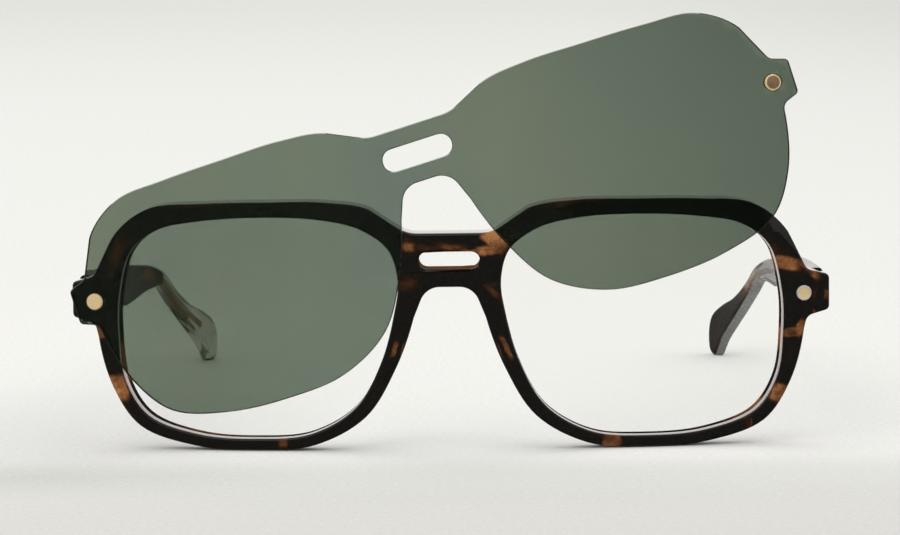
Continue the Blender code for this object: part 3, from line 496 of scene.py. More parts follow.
def make_front():
    """The acetate front: sheet cut to outline, facets milled on its upper corners, then bent."""
    eye = offset_loop(lens_loop(), -LENS_IN_RIM)
    loops = [front_loop(rim_loop()), eye, mirror_loop(eye)]
    front = cut_sheet("acetate_front", loops, FRONT_THICKNESS, FRONT_ROUND)
    face = FRONT_THICKNESS / 2
    slot = slot_loop(*SLOT_PUNCH, SLOT_UP)
    cut_away(front, cut_sheet("slot_punch", [slot], 2 * FRONT_THICKNESS, 0.0))

    def at_slot(co):
        return abs(co.x) < SLOT_WIDTH / 2 and abs(co.y - SLOT_UP) < SLOT_HEIGHT / 2

    edges_by(front, lambda co: abs(abs(co.z) - face) < TOUCH and at_slot(co))
    bpy.ops.mesh.bevel(offset=SLOT_ROUND, segments=4, profile=0.5, affect='EDGES')
    out_of_edit()
    for _, side in SIDES:
        cut_away(front, milling_block(side, face))
    score(front, BEND_PITCH)
    into_edit(front)
    for depth in (THIN_BAND, WIDE_BAND, BACK_EDGE):
        bpy.ops.mesh.select_all(action='SELECT')
        bpy.ops.mesh.bisect(plane_co=(0, 0, face - depth), plane_no=(0, 0, 1))
    out_of_edit()
    wall = eye + mirror_loop(eye)

    def finish_of(at, n):
        """Polished outside; the eyes' walls get a painted highlight near the face, narrower where
        they lie in shade, and are ground behind that, with painted amber light in parts; the slot's
        walls get painted amber light and the bridge's top a painted highlight.
        """
        polished, ground, lit, slot_wall, bridge_top = range(5)
        depth = face - at.z
        if abs(n.z) > FACING:
            return polished
        if at_slot(at):
            # The slot's walls get painted amber light; its bevels are ground unless they face up
            if abs(n.z) < ASIDE:
                return slot_wall
            return ground if n.y < SLOT_UPWARD else polished
        # The middle of the bridge's top gets a painted highlight from the thin band to the back
        # edge
        if abs(at.x) < BRIDGE_TOP_HALF and at.y > BRIDGE_TOP_LOWEST:
            return bridge_top if THIN_BAND < depth < BACK_EDGE else polished
        if min((at.xy - p).length_squared for p in wall) > WALL_REACH ** 2:
            return polished
        # The painted highlight on the eyes' walls is narrower where they lie in shade
        shaded = at.x < SHADED_FROM and at.y > SHADED_ABOVE
        if depth > (THIN_BAND if shaded else WIDE_BAND):
            return ground
        return lit if abs(n.z) < ASIDE else polished

    paint_faces(front, (acetate, ground_acetate_painted_glow, painted_highlight_acetate, slot_painted_glow_acetate, painted_bridge_highlight), finish_of)
    form(front, on_front(face))
    for _, side in SIDES:
        place = TILT @ bent_place(side * MAGNET_ACROSS, ENDPIECE_UP)
        bore = drill("bore", place, MAGNET_BORE, -OVERCUT, MAGNET_BORE_DEPTH)
        place = TILT @ bent_place(side * MAGNET_ACROSS, ENDPIECE_UP, FRONT_THICKNESS)
        pocket = chisel("pocket", place, HINGE_POCKET)
        cut_away(front, bore, pocket)
    settle(front, angle=40)
    return even_gloss(front)


def milling_block(side, face):
    """A block whose underside is the facet on one upper corner of the front."""
    first = Vector((*FACET_FIRST, face))
    last = Vector((*FACET_LAST, face))
    wall = Vector((*FACET_WALL, face - FACET_DEPTH))
    along = (last - first).normalized()
    across = (wall - first) - (wall - first).dot(along) * along
    across.normalize()
    up = across.cross(along) if across.cross(along).z > 0 else along.cross(across)
    length, width, height = MILLING_BLOCK
    middle = last - along * length / 2 + across * (width / 2 - MILLING_REACH) + up * height / 2
    turn = Matrix((along, across, up)).transposed().to_4x4()
    block = chisel("milling_block", Matrix.Translation(middle) @ turn, MILLING_BLOCK)
    if side < 0:
        block.scale.x = -1
        settle(block)
    face_out(block)
    return block


def drill(name, place, radius, near, far):
    """A round cutter along the depth of a place."""
    pick_none()
    bpy.ops.mesh.primitive_cylinder_add(vertices=56, radius=radius, depth=far - near)
    tool = bpy.context.view_layer.objects.active
    tool.name = name
    middle = Matrix.Translation((0, (near + far) / 2, 0))
    tool.matrix_world = place @ middle @ Matrix.Rotation(pi / 2, 4, 'X')
    return settle(tool)


def chisel(name, place, size):
    """A block cutter."""
    pick_none()
    bpy.ops.mesh.primitive_cube_add(size=1)
    tool = bpy.context.view_layer.objects.active
    tool.name = name
    tool.matrix_world = place @ Matrix.Diagonal((*size, 1))
    return settle(tool)


def make_clear_lens(label, side):
    """A plain lens with a little play in its groove."""
    loop = lens_loop() if side > 0 else mirror_loop(lens_loop())
    loop = offset_loop(loop, -LENS_PLAY)
    lens = cut_sheet(f"{label}_clear_lens", [loop], LENS_THICKNESS, LENS_ROUND, rounds=1)
    score(lens, BEND_PITCH)
    form(lens, on_front(LENS_SET_BACK + LENS_THICKNESS / 2))
    return even_gloss(settle(lens))


def make_clip_lens():
    """The one-piece sun lens, cut with its slot and two disc holes, bent, then swung up."""
    rim = rim_loop(top=0.65 * MM, side=-0.3 * MM, bottom=0.2 * MM)
    outline = front_loop(rim, end_inset=0.95 * MM, bridge_top=BRIDGE_TOP + 0.8 * MM,
                         arch_top=ARCH_TOP + 0.25 * MM)
    slot = slot_loop(SLOT_WIDTH + CLIP_SLOT_MARGIN, SLOT_HEIGHT + CLIP_SLOT_MARGIN,
                     SLOT_UP + CLIP_SLOT_RISE)
    holes = [ring_loop((side * MAGNET_ACROSS, ENDPIECE_UP), CLIP_HOLE) for _, side in SIDES]
    lens = cut_sheet("sun_lens", [outline, slot, *holes], CLIP_THICKNESS, CLIP_ROUND, rounds=1)
    score(lens, BEND_PITCH)
    middle = -CLIP_STANDOFF - CLIP_THICKNESS / 2

    def finish_of(at, n):
        """Tinted on its two faces, a painted highlight on the edges that look up, dark on the
        others.
        """
        tinted, dark, pale = range(3)
        if abs(n.z) > SQUARE_ON:
            return tinted
        # The pale edges are a painted highlight
        return pale if n.y > CLIP_UPWARD and abs(at.x) < CLIP_EDGE_HALF else dark

    paint_faces(lens, (tint, tint_edge, painted_highlight_edge), finish_of)
    form(lens, lambda x, y, z: CLIP_TURN @ bent(x, y, middle - z))
    return even_gloss(settle(lens))


def temple_path(share, on_tip):
    """A point of the temple's middle line, and which way is up there."""
    if not on_tip:
        return Vector((share * STRAIGHT, 0)), Vector((0, 1))
    down = Vector((cos(TIP_ANGLE), -sin(TIP_ANGLE)))
    up = Vector((sin(TIP_ANGLE), cos(TIP_ANGLE)))
    return Vector((STRAIGHT, 0)) + down * share * TIP_LENGTH, up


def temple_loop():
    """The temple's outline from the side, clockwise with the hinge at the left."""
    over = []
    under = []
    for stations, on_tip in ((STRAIGHT_STATIONS, False), (TIP_STATIONS, True)):
        for share, above, below in stations:
            point, up = temple_path(share, on_tip)
            over.append(point + up * above)
            under.append(point - up * below)
    for share, above in TIP_END:
        point, up = temple_path(share, True)
        over.append(point + up * above)
    return smooth_curve(over + under[::-1], CURVE_STEPS, closed=False)


def temple_place(side):
    """Where a point of the temple's side view goes: bent in at its end, thinned and sloped down."""
    length = STRAIGHT + TIP_LENGTH * cos(TIP_ANGLE)
    hinge = bent(side * MAGNET_ACROSS, ENDPIECE_UP, FRONT_THICKNESS + HINGE_BACK)
    slope = TILT @ Matrix.Translation(hinge) @ Matrix.Rotation(TEMPLE_SLOPE, 4, 'X')

    def place(along, up, out):
        share = max(0.0, along / length)
        wrap = TEMPLE_WRAP * share ** WRAP_POWER
        thin = 1 + (TIP_THICKNESS / TEMPLE_THICKNESS - 1) * min(1.0, share) ** 2
        depth = (out + TEMPLE_THICKNESS / 2) * thin
        return slope @ Vector((side * (TEMPLE_OUT + depth - wrap), along, up))

    return place


def make_temple(label, side):
    """A temple cut from sheet, cut off to a mitre behind the endpiece; its tip is spliced on."""
    whole = cut_sheet(f"{label}_temple_arm", [temple_loop()], TEMPLE_THICKNESS, TEMPLE_ROUND,
                      rounds=4)
    score(whole, TEMPLE_PITCH)
    pick(whole)
    bpy.ops.object.duplicate()
    tip = bpy.context.view_layer.objects.active
    tip.name = tip.data.name = f"{label}_temple_tip"
    splice = (SPLICE[label], 0.0, 0.0)
    for piece, keep_tip in ((whole, False), (tip, True)):
        into_edit(piece)
        bpy.ops.mesh.bisect(plane_co=splice, plane_no=SPLICE_SLANT, use_fill=True,
                            clear_inner=keep_tip, clear_outer=not keep_tip)
        out_of_edit()
        form(piece, temple_place(side))
    mitre = atan(MAGNET_ACROSS / FRONT_RADIUS)
    hinge = bent(side * MAGNET_ACROSS, ENDPIECE_UP, FRONT_THICKNESS + HINGE_BACK)
    at = TILT @ (hinge + Vector((0, -MITRE_AHEAD, 0)))
    facing = TILT.to_3x3() @ Vector((-side * sin(mitre), cos(mitre), 0))
    into_edit(whole)
    bpy.ops.mesh.bisect(plane_co=at, plane_no=facing, use_fill=True, clear_inner=True)
    out_of_edit()
    face_out(whole)
    for piece in (whole, tip):
        even_gloss(settle(piece, angle=40))
    return whole, tip


def turn_on_lathe(name, place, profile, steps=64):
    """Spin a half section, given as (radius, depth) points, about the depth of a place."""
    section = bpy.data.meshes.new(name)
    section.from_pydata([(r * MM, d * MM, 0.0) for r, d in profile],
                        [(k, k + 1) for k in range(len(profile) - 1)], [])
    piece = bpy.data.objects.new(name, section)
    bpy.context.scene.collection.objects.link(piece)
    into_edit(piece)
    bpy.ops.mesh.spin(steps=steps, angle=2 * pi, center=(0, 0, 0), axis=(0, 1, 0))
    out_of_edit()
    face_out(piece)
    piece.matrix_world = place
    return settle(piece, angle=30)


def paint_faces(piece, finishes, choose):
    """Give each face one of the finishes: choose(middle, normal) says which."""
    for finish in finishes:
        piece.data.materials.append(finish)
    for face in piece.data.polygons:
        face.material_index = choose(face.center, face.normal)


def make_discs():
    """The discs: caps over the frame's magnets, the clip's plain left disc and open right one."""
    for label, side in SIDES:
        place = TILT @ bent_place(side * MAGNET_ACROSS, ENDPIECE_UP)
        cap = turn_on_lathe(f"{label}_gold_cap", place, CAP_SECTION)
        facing = place.to_3x3() @ Vector((0, -1, 0))
        middle = place.translation
        paint_faces(cap, (gold, nickel), lambda at, n: 0 if (
            (at - middle).length < CAP_FACE and n.dot(facing) > FACING) else 1)
        fit(cap, "front", "pale_gold", f"{label}_frame_magnet_cap")
    for name, side, section, finish, slot, node in (
        ("left_clip_disc", -1, CLIP_DISC_SECTION, gold, "pale_gold", "left_clip_bezel"),
        ("right_clip_ring", 1, CLIP_RING_SECTION, gold, "pale_gold", "right_clip_bezel"),
        ("right_clip_core", 1, CLIP_CORE_SECTION, brown_magnet, "sintered_magnet",
         "right_clip_magnet"),
    ):
        place = CLIP_TURN @ bent_place(side * MAGNET_ACROSS, ENDPIECE_UP)
        disc = turn_on_lathe(name, place, section)
        disc.data.materials.append(finish)
        fit(disc, "clip", slot, node)


def fit(piece, body, slot, *nodes):
    """Fix a piece to its body, in place of the frame's plain solids, which it hides; its finish's
    slot is not used.
    """
    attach(piece, body)
    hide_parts(*nodes)


def make_pad(label):
    """A nose pad, its ridge rounded over from the frame's own pad."""
    pick_none()
    pad = frame["nodes"][f"{label}_nose_pad"].copy()
    pad.data = pad.data.copy()
    pad.name = pad.data.name = f"{label}_pad"
    bpy.context.scene.collection.objects.link(pad)
    pad.parent = None
    face_out(pad)
    bend = pad.modifiers.new("round", 'SUBSURF')
    bend.levels = bend.render_levels = 2
    apply_all(pad)
    return settle(pad, angle=60)


def put_together():
    """Make every piece, give it its finish and fix it to its body."""
    front = make_front()
    fit(front, "front", "tortoise_acetate", "frame_front")
    for label, side in SIDES:
        lens = make_clear_lens(label, side)
        lens.data.materials.append(clear)
        lens.visible_shadow = lens.visible_diffuse = False
        fit(lens, "front", "clear_demo_lens", f"{label}_demo_lens")
        pad = make_pad(label)
        pad.data.materials.clear()
        pad.data.materials.append(acetate)
        fit(pad, "front", "tortoise_acetate", f"{label}_nose_pad")
        arm, tip = make_temple(label, side)
        arm.data.materials.append(temple_acetate[label])
        # The right tip's underside gets a painted shade
        paint_faces(tip, (tip_crystal[label], tip_underside[label]),
                    lambda at, n: int(n.z < TIP_DOWNWARD))
        for piece in (arm, tip):
            fit(piece, f"{label}_temple_body", "tortoise_acetate", f"{label}_temple")
    sun = make_clip_lens()
    sun.visible_shadow = sun.visible_diffuse = False
    fit(sun, "clip", "green_sun_lens", "clip_lens")
    make_discs()
    dress("pale_gold", gold)
    dress("hinge_steel", steel)
    dress("sintered_magnet", brown_magnet)
    frame["nodes"]["left_core_wire"].material_slots[0].material = core_metal


def dress(slot, finish):
    """Give the finish to every frame part that has this slot."""
    for part in frame["record"]["subparts"]:
        if part["material_slot"] == slot:
            frame["nodes"][part["node"]].material_slots[0].material = finish


def make_material(name):
    """An empty material, with its node tree and its one shader."""
    material = bpy.data.materials.new(name)
    material.use_nodes = True
    tree = material.node_tree
    return material, tree, tree.nodes["Principled BSDF"]


def start_finish(name):
    """An empty material, and where each point lies on the object."""
    material, tree, shader = make_material(name)
    return material, tree, shader, tree.nodes.new('ShaderNodeTexCoord').outputs["Object"]


def add_node(tree, kind, values=None, **settings):
    """A node with its settings; its inputs, by name or number, take numbers or other sockets."""
    node = tree.nodes.new(kind)
    for key, value in settings.items():
        setattr(node, key, value)
    for key, value in (values or {}).items():
        if isinstance(value, bpy.types.NodeSocket):
            tree.links.new(value, node.inputs[key])
        else:
            node.inputs[key].default_value = value
    return node


def calculate(tree, operation, *values):
    """One step of arithmetic."""
    return add_node(tree, 'ShaderNodeMath', dict(enumerate(values)), operation=operation).outputs[0]


def reckon_place(tree, operation, *values):
    """One step of arithmetic on places."""
    node = add_node(tree, 'ShaderNodeVectorMath', dict(enumerate(values)), operation=operation)
    return node.outputs[0]


def noise(tree, place, scale, detail, roughness):
    """Soft random clouds, as a value and as a colour."""
    return add_node(tree, 'ShaderNodeTexNoise', {
        "Vector": place, "Scale": scale, "Detail": detail, "Roughness": roughness}).outputs


# The range that nearly all of a soft random value lies in
NOISE_RANGE = (0.3, 0.7)


def spread(tree, value, low, high, to_low, to_high):
    """A value stretched from one range to another, and held at its ends."""
    return add_node(tree, 'ShaderNodeMapRange', {
        "Value": value, "From Min": low, "From Max": high,
        "To Min": to_low, "To Max": to_high}).outputs[0]


def ramp(tree, value, stops):
    """A colour ramp: stops are (place, (r, g, b))."""
    node = add_node(tree, 'ShaderNodeValToRGB', {"Fac": value})
    line = node.color_ramp
    while len(line.elements) < len(stops):
        line.elements.new(0.5)
    for element, (place, colour) in zip(line.elements, stops):
        element.position = place
        element.color = (*colour, 1.0)
    return node.outputs["Color"]


def blend_colours(tree, share, first, second, kind='MIX'):
    """A share of the second colour laid over the first."""
    node = add_node(tree, 'ShaderNodeMix', data_type='RGBA', blend_type=kind)
    inputs = (node.inputs["Factor"], node.inputs[6], node.inputs[7])
    for socket, value in zip(inputs, (share, first, second)):
        if isinstance(value, bpy.types.NodeSocket):
            tree.links.new(value, socket)
        elif isinstance(value, tuple):
            socket.default_value = (*value, 1.0)
        else:
            socket.default_value = value
    return node.outputs[2]


def shade_colour(tree, colour, tone):
    """A colour made darker or lighter by a tone."""
    shade = add_node(tree, 'ShaderNodeCombineColor', {0: tone, 1: tone, 2: tone})
    return blend_colours(tree, 1.0, colour, shade.outputs[0], 'MULTIPLY')


def set_plain(shader, values):
    """Numbers and colours that are the same all over."""
    for key, value in values.items():
        shader.inputs[key].default_value = value


def set_rough(tree, shader, value, low, high):
    """Let the roughness follow a value between two limits."""
    tree.links.new(spread(tree, value, *NOISE_RANGE, low, high), shader.inputs["Roughness"])


def set_bump(tree, shader, height, strength, distance):
    """Let the shading show a fine relief that follows a height."""
    bump = add_node(tree, 'ShaderNodeBump', {
        "Height": height, "Strength": strength, "Distance": distance})
    tree.links.new(bump.outputs[0], shader.inputs["Normal"])


def start_group(name, takes, gives):
    """A node group with named sockets: takes are (name, kind, value), gives are (name, kind)."""
    group = bpy.data.node_groups.new(name, 'ShaderNodeTree')
    for label, kind, value in takes:
        socket = group.interface.new_socket(label, in_out='INPUT', socket_type=kind)
        if value is not None:
            socket.default_value = value
    for label, kind in gives:
        group.interface.new_socket(label, in_out='OUTPUT', socket_type=kind)
    given = group.nodes.new('NodeGroupInput').outputs
    return group, given, group.nodes.new('NodeGroupOutput').inputs


def place_group(tree, group, place, **values):
    """A shared group at work in one material, with its own values."""
    return add_node(tree, 'ShaderNodeGroup', {"Place": place, **values}, node_tree=group).outputs


def make_cloud_group():
    """One soft-edged patch of colour in the acetate, as a slanted block with round corners."""
    takes = (
        ("Place", 'NodeSocketVector', None),
        ("Middle", 'NodeSocketVector', (0, 0, 0)),
        ("Reach", 'NodeSocketVector', (1, 1, 1)),
        ("Turn", 'NodeSocketFloat', 0.0),
        ("Blur", 'NodeSocketFloat', 0.3),
    )
    group, given, out = start_group("acetate_cloud", takes, (("Mask", 'NodeSocketFloat'),))
    away = reckon_place(group, 'SUBTRACT', given["Place"], given["Middle"])
    turned = add_node(group, 'ShaderNodeVectorRotate', {"Vector": away, "Angle": given["Turn"]},
                      rotation_type='Y_AXIS').outputs[0]
    share = reckon_place(group, 'DIVIDE', turned, given["Reach"])
    squared = reckon_place(group, 'MULTIPLY', share, share)
    length = add_node(group, 'ShaderNodeVectorMath', {0: squared}, operation='LENGTH')
    far = calculate(group, 'SQRT', length.outputs["Value"])
    mask = add_node(group, 'ShaderNodeMapRange', {
        "Value": far,
        "From Min": calculate(group, 'ADD', 1.0, given["Blur"]),
        "From Max": calculate(group, 'SUBTRACT', 1.0, given["Blur"]),
        "To Min": 0.0, "To Max": 1.0}, interpolation_type='SMOOTHSTEP')
    group.links.new(mask.outputs[0], out["Mask"])
    return group


def make_ripple_group():
    """Points shifted a little at random, so that patch edges run unevenly through the sheet."""
    takes = (
        ("Place", 'NodeSocketVector', None),
        ("Scale", 'NodeSocketFloat', 300.0),
        ("Shift", 'NodeSocketFloat', 0.001),
    )
    group, given, out = start_group("acetate_ripple", takes, (("Place", 'NodeSocketVector'),))
    wild = noise(group, given["Place"], given["Scale"], 2.0, 0.5)["Color"]
    centred = reckon_place(group, 'SUBTRACT', wild, (0.5, 0.5, 0.5))
    sized = add_node(group, 'ShaderNodeVectorMath', {0: centred, "Scale": given["Shift"]},
                     operation='SCALE')
    moved = reckon_place(group, 'ADD', given["Place"], sized.outputs[0])
    group.links.new(moved, out["Place"])
    return group


def make_speck_group():
    """Two values that change over a surface: fine grain, and broader faint hand marks."""
    takes = (
        ("Place", 'NodeSocketVector', None),
        ("Grain", 'NodeSocketFloat', 2500.0),
        ("Marks", 'NodeSocketFloat', 60.0),
    )
    gives = (("Grain", 'NodeSocketFloat'), ("Marks", 'NodeSocketFloat'))
    group, given, out = start_group("fine_grain", takes, gives)
    for label, detail, roughness in (("Grain", 3.0, 0.6), ("Marks", 4.0, 0.55)):
        fleck = noise(group, given["Place"], given[label], detail, roughness)["Fac"]
        group.links.new(fleck, out[label])
    return group


CLOUD = make_cloud_group()
RIPPLE = make_ripple_group()
SPECK = make_speck_group()

# Amber patches of the front in millimetres: across, up, half across, half up, turn, blur, strength
AMBER_PATCHES = (
    (-7.7, 40.3, 1.5, 1.0, -3.0, 0.70, 0.80),
    (-8.0, 41.5, 0.79, 0.68, -11.0, 0.80, 0.42),
    (-3.6, 40.1, 3.8, 0.72, -2.0, 0.85, 0.54),
    (0.3, 40.2, 3.0, 0.85, -8.0, 0.85, 0.70),
    (4.3, 39.4, 3.2, 0.42, -1.0, 0.66, 0.72),
    (9.1, 41.4, 2.9, 1.85, -46.0, 0.36, 0.98),
    (8.2, 39.4, 2.9, 1.0, 2.0, 0.45, 0.94),
    (13.0, 43.7, 2.55, 1.32, 57.0, 0.78, 0.32),
    (-11.7, 43.3, 2.11, 1.51, 22.0, 0.80, 0.30),
    (-10.8, 20.2, 1.62, 0.62, 71.0, 0.43, 0.86),
    (-9.2, 20.0, 1.77, 0.17, 71.0, 0.62, 0.70),
    (11.1, 20.2, 2.68, 0.55, -68.0, 0.37, 0.90),
    (9.8, 19.9, 2.09, 0.17, -68.0, 0.62, 0.70),
    (-8.1, 33.0, 1.9, 1.2, 15.0, 0.95, 0.52),
    (8.6, 31.5, 2.08, 0.75, -42.0, 0.62, 0.55),
    (8.4, 32.8, 1.56, 0.57, 1.0, 0.80, 0.36),
    (66.1, 35.6, 3.2, 1.45, -14.0, 0.42, 0.84),
    (70.2, 34.3, 3.0, 0.75, -38.0, 0.47, 0.90),
    (67.2, 21.9, 2.18, 0.98, 2.0, 0.37, 0.84),
    (68.7, 22.6, 1.79, 0.79, 69.0, 0.43, 0.90),
    (73.8, 29.2, 1.09, 0.49, 90.0, 0.54, 0.62),
    (71.5, 29.4, 1.29, 0.53, 90.0, 0.80, 0.36),
    (71.4, 25.7, 0.66, 0.36, -81.0, 0.70, 0.58),
    (64.6, 9.9, 2.06, 1.79, 64.0, 0.31, 0.94),
    (58.0, 4.3, 1.3, 0.94, -86.0, 0.78, 0.40),
    (58.8, 4.3, 1.0, 0.3, -87.0, 0.62, 0.56),
    (31.5, 1.5, 1.92, 1.6, -7.0, 0.34, 0.76),
    (-68.8, 23.1, 1.43, 0.75, -64.0, 0.46, 0.78),
    (-65.4, 12.2, 2.86, 1.98, -77.0, 0.34, 0.96),
    (-63.0, 6.6, 3.13, 0.64, -49.0, 0.78, 0.40),
    (-32.9, 1.7, 1.04, 1.13, 0.0, 0.54, 0.62),
    (-65.2, 38.5, 4.37, 1.32, 66.0, 0.80, 0.66),
    (-44.4, 49.6, 8.34, 0.94, 6.0, 0.80, 0.60),
    (24.7, 49.2, 6.87, 0.94, 8.0, 0.80, 0.62),
    (63.3, 39.1, 2.69, 0.94, -49.0, 0.80, 0.42),
)

# Painted amber light where the light comes through the back half of the eyes' walls
WALL_PATCHES = (
    (-62.0, 17.5, 5.0, 4.2, 0.0, 0.45, 0.95),
    (-46.0, 3.2, 15.0, 2.2, 6.0, 0.50, 0.62),
    (63.5, 36.5, 4.0, 3.4, 0.0, 0.45, 0.84),
    (65.0, 20.6, 4.0, 2.9, 0.0, 0.45, 0.86),
    (57.0, 8.0, 6.0, 4.0, -40.0, 0.50, 0.84),
)

# How far back the front's patches lie, and how far they reach from there
PATCH_DEPTH = -62.0
PATCH_REACH = 30.0


def through_front(rows):
    """The front's patches, made to reach right through its sheet."""
    for x, z, across, up, turn, blur, strength in rows:
        yield (x, PATCH_DEPTH, z), (across, PATCH_REACH, up), turn, blur, strength


def clouds(tree, place, patches):
    """Patches together: middle, reach each way, turn, blur, strength; millimetres and degrees."""
    total = None
    for middle, reach, turn, blur, strength in patches:
        mask = place_group(tree, CLOUD, place, Middle=[v * MM for v in middle],
                           Reach=[v * MM for v in reach], Turn=radians(turn), Blur=blur)["Mask"]
        mask = calculate(tree, 'MULTIPLY', mask, strength)
        total = mask if total is None else calculate(tree, 'MAXIMUM', total, mask)
    return total


def finish_acetate(name, rough, gloss, lit=0.0, glow=(0.78, 0.66, 0.60), patches=AMBER_PATCHES):
    """Dark tortoiseshell acetate: near-black brown with red-brown fringes round amber patches.

    Where light is painted on a wall, a share of the glow's colour is laid over it: a painted
    highlight on the eyes' walls and the bridge's top, painted amber light on the slot's walls."""
    material, tree, shader, where = start_finish(name)
    moved = place_group(tree, RIPPLE, where, Scale=420.0, Shift=0.0011)["Place"]
    placed = clouds(tree, moved, through_front(patches))
    # Behind the front the patches fall at random, drawn out along the temples
    drawn = add_node(tree, 'ShaderNodeMapping', {"Vector": moved, "Scale": (1.0, 0.3, 1.0)})
    wild = noise(tree, drawn.outputs[0], 95.0, 1.5, 0.45)["Fac"]
    patchy = spread(tree, wild, 0.56, 0.70, 0.0, 0.95)
    depth = add_node(tree, 'ShaderNodeSeparateXYZ', {0: where}).outputs["Y"]
    behind = spread(tree, depth, -0.0560, -0.0500, 0.12, 1.0)
    amber = calculate(tree, 'MAXIMUM', placed, calculate(tree, 'MULTIPLY', patchy, behind))
    # Each patch is uneven inside
    speck = place_group(tree, SPECK, where, Grain=2200.0, Marks=420.0)
    wavy = spread(tree, speck["Marks"], *NOISE_RANGE, -0.16, 0.16)
    amber = calculate(tree, 'MULTIPLY_ADD', amber, wavy, amber)
    deep = noise(tree, moved, 240.0, 2.0, 0.5)["Fac"]
    amber = calculate(tree, 'MULTIPLY', amber, spread(tree, deep, 0.30, 0.68, 0.62, 1.06))
    colour = ramp(tree, amber, (
        (0.00, (0.0108, 0.0098, 0.0085)),
        (0.22, (0.0150, 0.0105, 0.0080)),
        (0.42, (0.040, 0.0165, 0.0082)),
        (0.65, (0.130, 0.051, 0.0200)),
        (0.85, (0.265, 0.109, 0.042)),
        (1.00, (0.440, 0.188, 0.074)),
    ))
    colour = shade_colour(tree, colour, spread(tree, speck["Grain"], 0.35, 0.65, 0.72, 1.18))
    # Painted light laid over a wall: a share of the glow's colour
    if lit:
        colour = blend_colours(tree, lit, colour, glow)
    tree.links.new(colour, shader.inputs["Base Color"])
    set_rough(tree, shader, speck["Marks"], rough - 0.03, rough + 0.03)
    set_bump(tree, shader, speck["Marks"], 0.03, 0.0001)
    set_plain(shader, {"IOR": 1.48, "Specular IOR Level": gloss})
    return material


def finish_crystal(name, patches, bending, plain):
    """Clear grey acetate of a temple tip, with smoky brown patches in it."""
    material, tree, shader, where = start_finish(name)
    moved = place_group(tree, RIPPLE, where, Scale=260.0, Shift=0.003)["Place"]
    speck = place_group(tree, SPECK, where, Grain=700.0, Marks=160.0)
    cloudy = spread(tree, speck["Marks"], 0.35, 0.7, 0.0, 0.12)
    smoke = calculate(tree, 'ADD', clouds(tree, moved, patches), cloudy)
    colour = ramp(tree, smoke, (
        (0.00, plain),
        (0.30, (0.32, 0.25, 0.19)),
        (0.60, (0.12, 0.045, 0.018)),
        (1.00, (0.010, 0.006, 0.004)),
    ))
    tree.links.new(colour, shader.inputs["Base Color"])
    set_rough(tree, shader, speck["Grain"], 0.08, 0.14)
    set_plain(shader, {"Transmission Weight": 1.0, "IOR": bending})
    return material


def finish_clear():
    """The plain clear lens, with faint wiping marks in its gloss."""
    material, tree, shader, where = start_finish("clear_lens_plastic")
    speck = place_group(tree, SPECK, where, Grain=900.0, Marks=35.0)
    set_rough(tree, shader, speck["Marks"], 0.0, 0.03)
    colour = ramp(tree, speck["Marks"], ((0.3, (1.0, 1.0, 1.0)), (0.7, (0.985, 0.99, 0.985))))
    tree.links.new(colour, shader.inputs["Base Color"])
    set_plain(shader, {"Transmission Weight": 1.0, "IOR": 1.33})
    return material


def finish_sun_tint():
    """The sun lens: green-grey all through, with a drift to olive and blue, darker towards its
    right end.
    """
    material, tree, shader, where = start_finish("green_grey_sun_lens")
    broad = noise(tree, where, 22.0, 1.0, 0.4)["Fac"]
    colour = ramp(tree, broad, (
        (0.30, (0.175, 0.223, 0.177)),
        (0.50, (0.186, 0.225, 0.174)),
        (0.70, (0.192, 0.224, 0.168)),
    ))
    shifted = add_node(tree, 'ShaderNodeMapping', {"Vector": where, "Location": (0.3, 0.1, 0.7)})
    other = noise(tree, shifted.outputs[0], 30.0, 1.0, 0.4)["Fac"]
    cool = spread(tree, other, 0.42, 0.66, 0.0, 0.6)
    colour = blend_colours(tree, cool, colour, (0.158, 0.205, 0.172))
    across = add_node(tree, 'ShaderNodeSeparateXYZ', {0: where}).outputs["X"]
    outward = spread(tree, across, 0.010, 0.070, 0.0, 1.0)
    colour = blend_colours(tree, outward, colour, (0.126, 0.160, 0.124))
    tree.links.new(colour, shader.inputs["Base Color"])
    set_rough(tree, shader, broad, 0.0, 0.02)
    set_plain(shader, {"Transmission Weight": 1.0, "IOR": 1.5})
    return material


def finish_edge(name, low, high, polish=0.28):
    """Solid colour between two near tones, dull by polish: the sun lens's ground dark edges, its
    painted highlight on edges that look up, and the painted shade on a tip's underside.
    """
    material, tree, shader, where = start_finish(name)
    speck = place_group(tree, SPECK, where, Grain=1800.0, Marks=250.0)
    colour = ramp(tree, speck["Marks"], ((0.3, low), (0.7, high)))
    tree.links.new(colour, shader.inputs["Base Color"])
    set_rough(tree, shader, speck["Grain"], 0.78 * polish, 1.22 * polish)
    set_plain(shader, {"IOR": 1.5})
    return material


def finish_metal(name, low, high, rough, grain, marks, metallic=1.0):
    """A satin metal: its colour and gloss change a little from place to place."""
    material, tree, shader, where = start_finish(name)
    speck = place_group(tree, SPECK, where, Grain=grain, Marks=marks)
    colour = ramp(tree, speck["Marks"], ((0.3, low), (0.7, high)))
    tree.links.new(colour, shader.inputs["Base Color"])
    set_rough(tree, shader, speck["Grain"], rough - 0.07, rough + 0.07)
    set_bump(tree, shader, speck["Grain"], 0.3, 0.00002)
    set_plain(shader, {"Metallic": metallic})
    return material


acetate = finish_acetate("tortoiseshell_acetate", 0.10, 0.5)
# Ground acetate for the eyes' walls behind the lens and the slot's upper bevels, with painted amber
# light on parts of the eyes' walls
ground_acetate_painted_glow = finish_acetate("tortoiseshell_ground_painted_glow", 0.55, 0.0,
                                patches=AMBER_PATCHES + WALL_PATCHES)
# Painted highlight on the eyes' walls near the face: a pale glow laid over the acetate
painted_highlight_acetate = finish_acetate("tortoiseshell_painted_highlight_wall", 0.10, 0.6, lit=0.42)
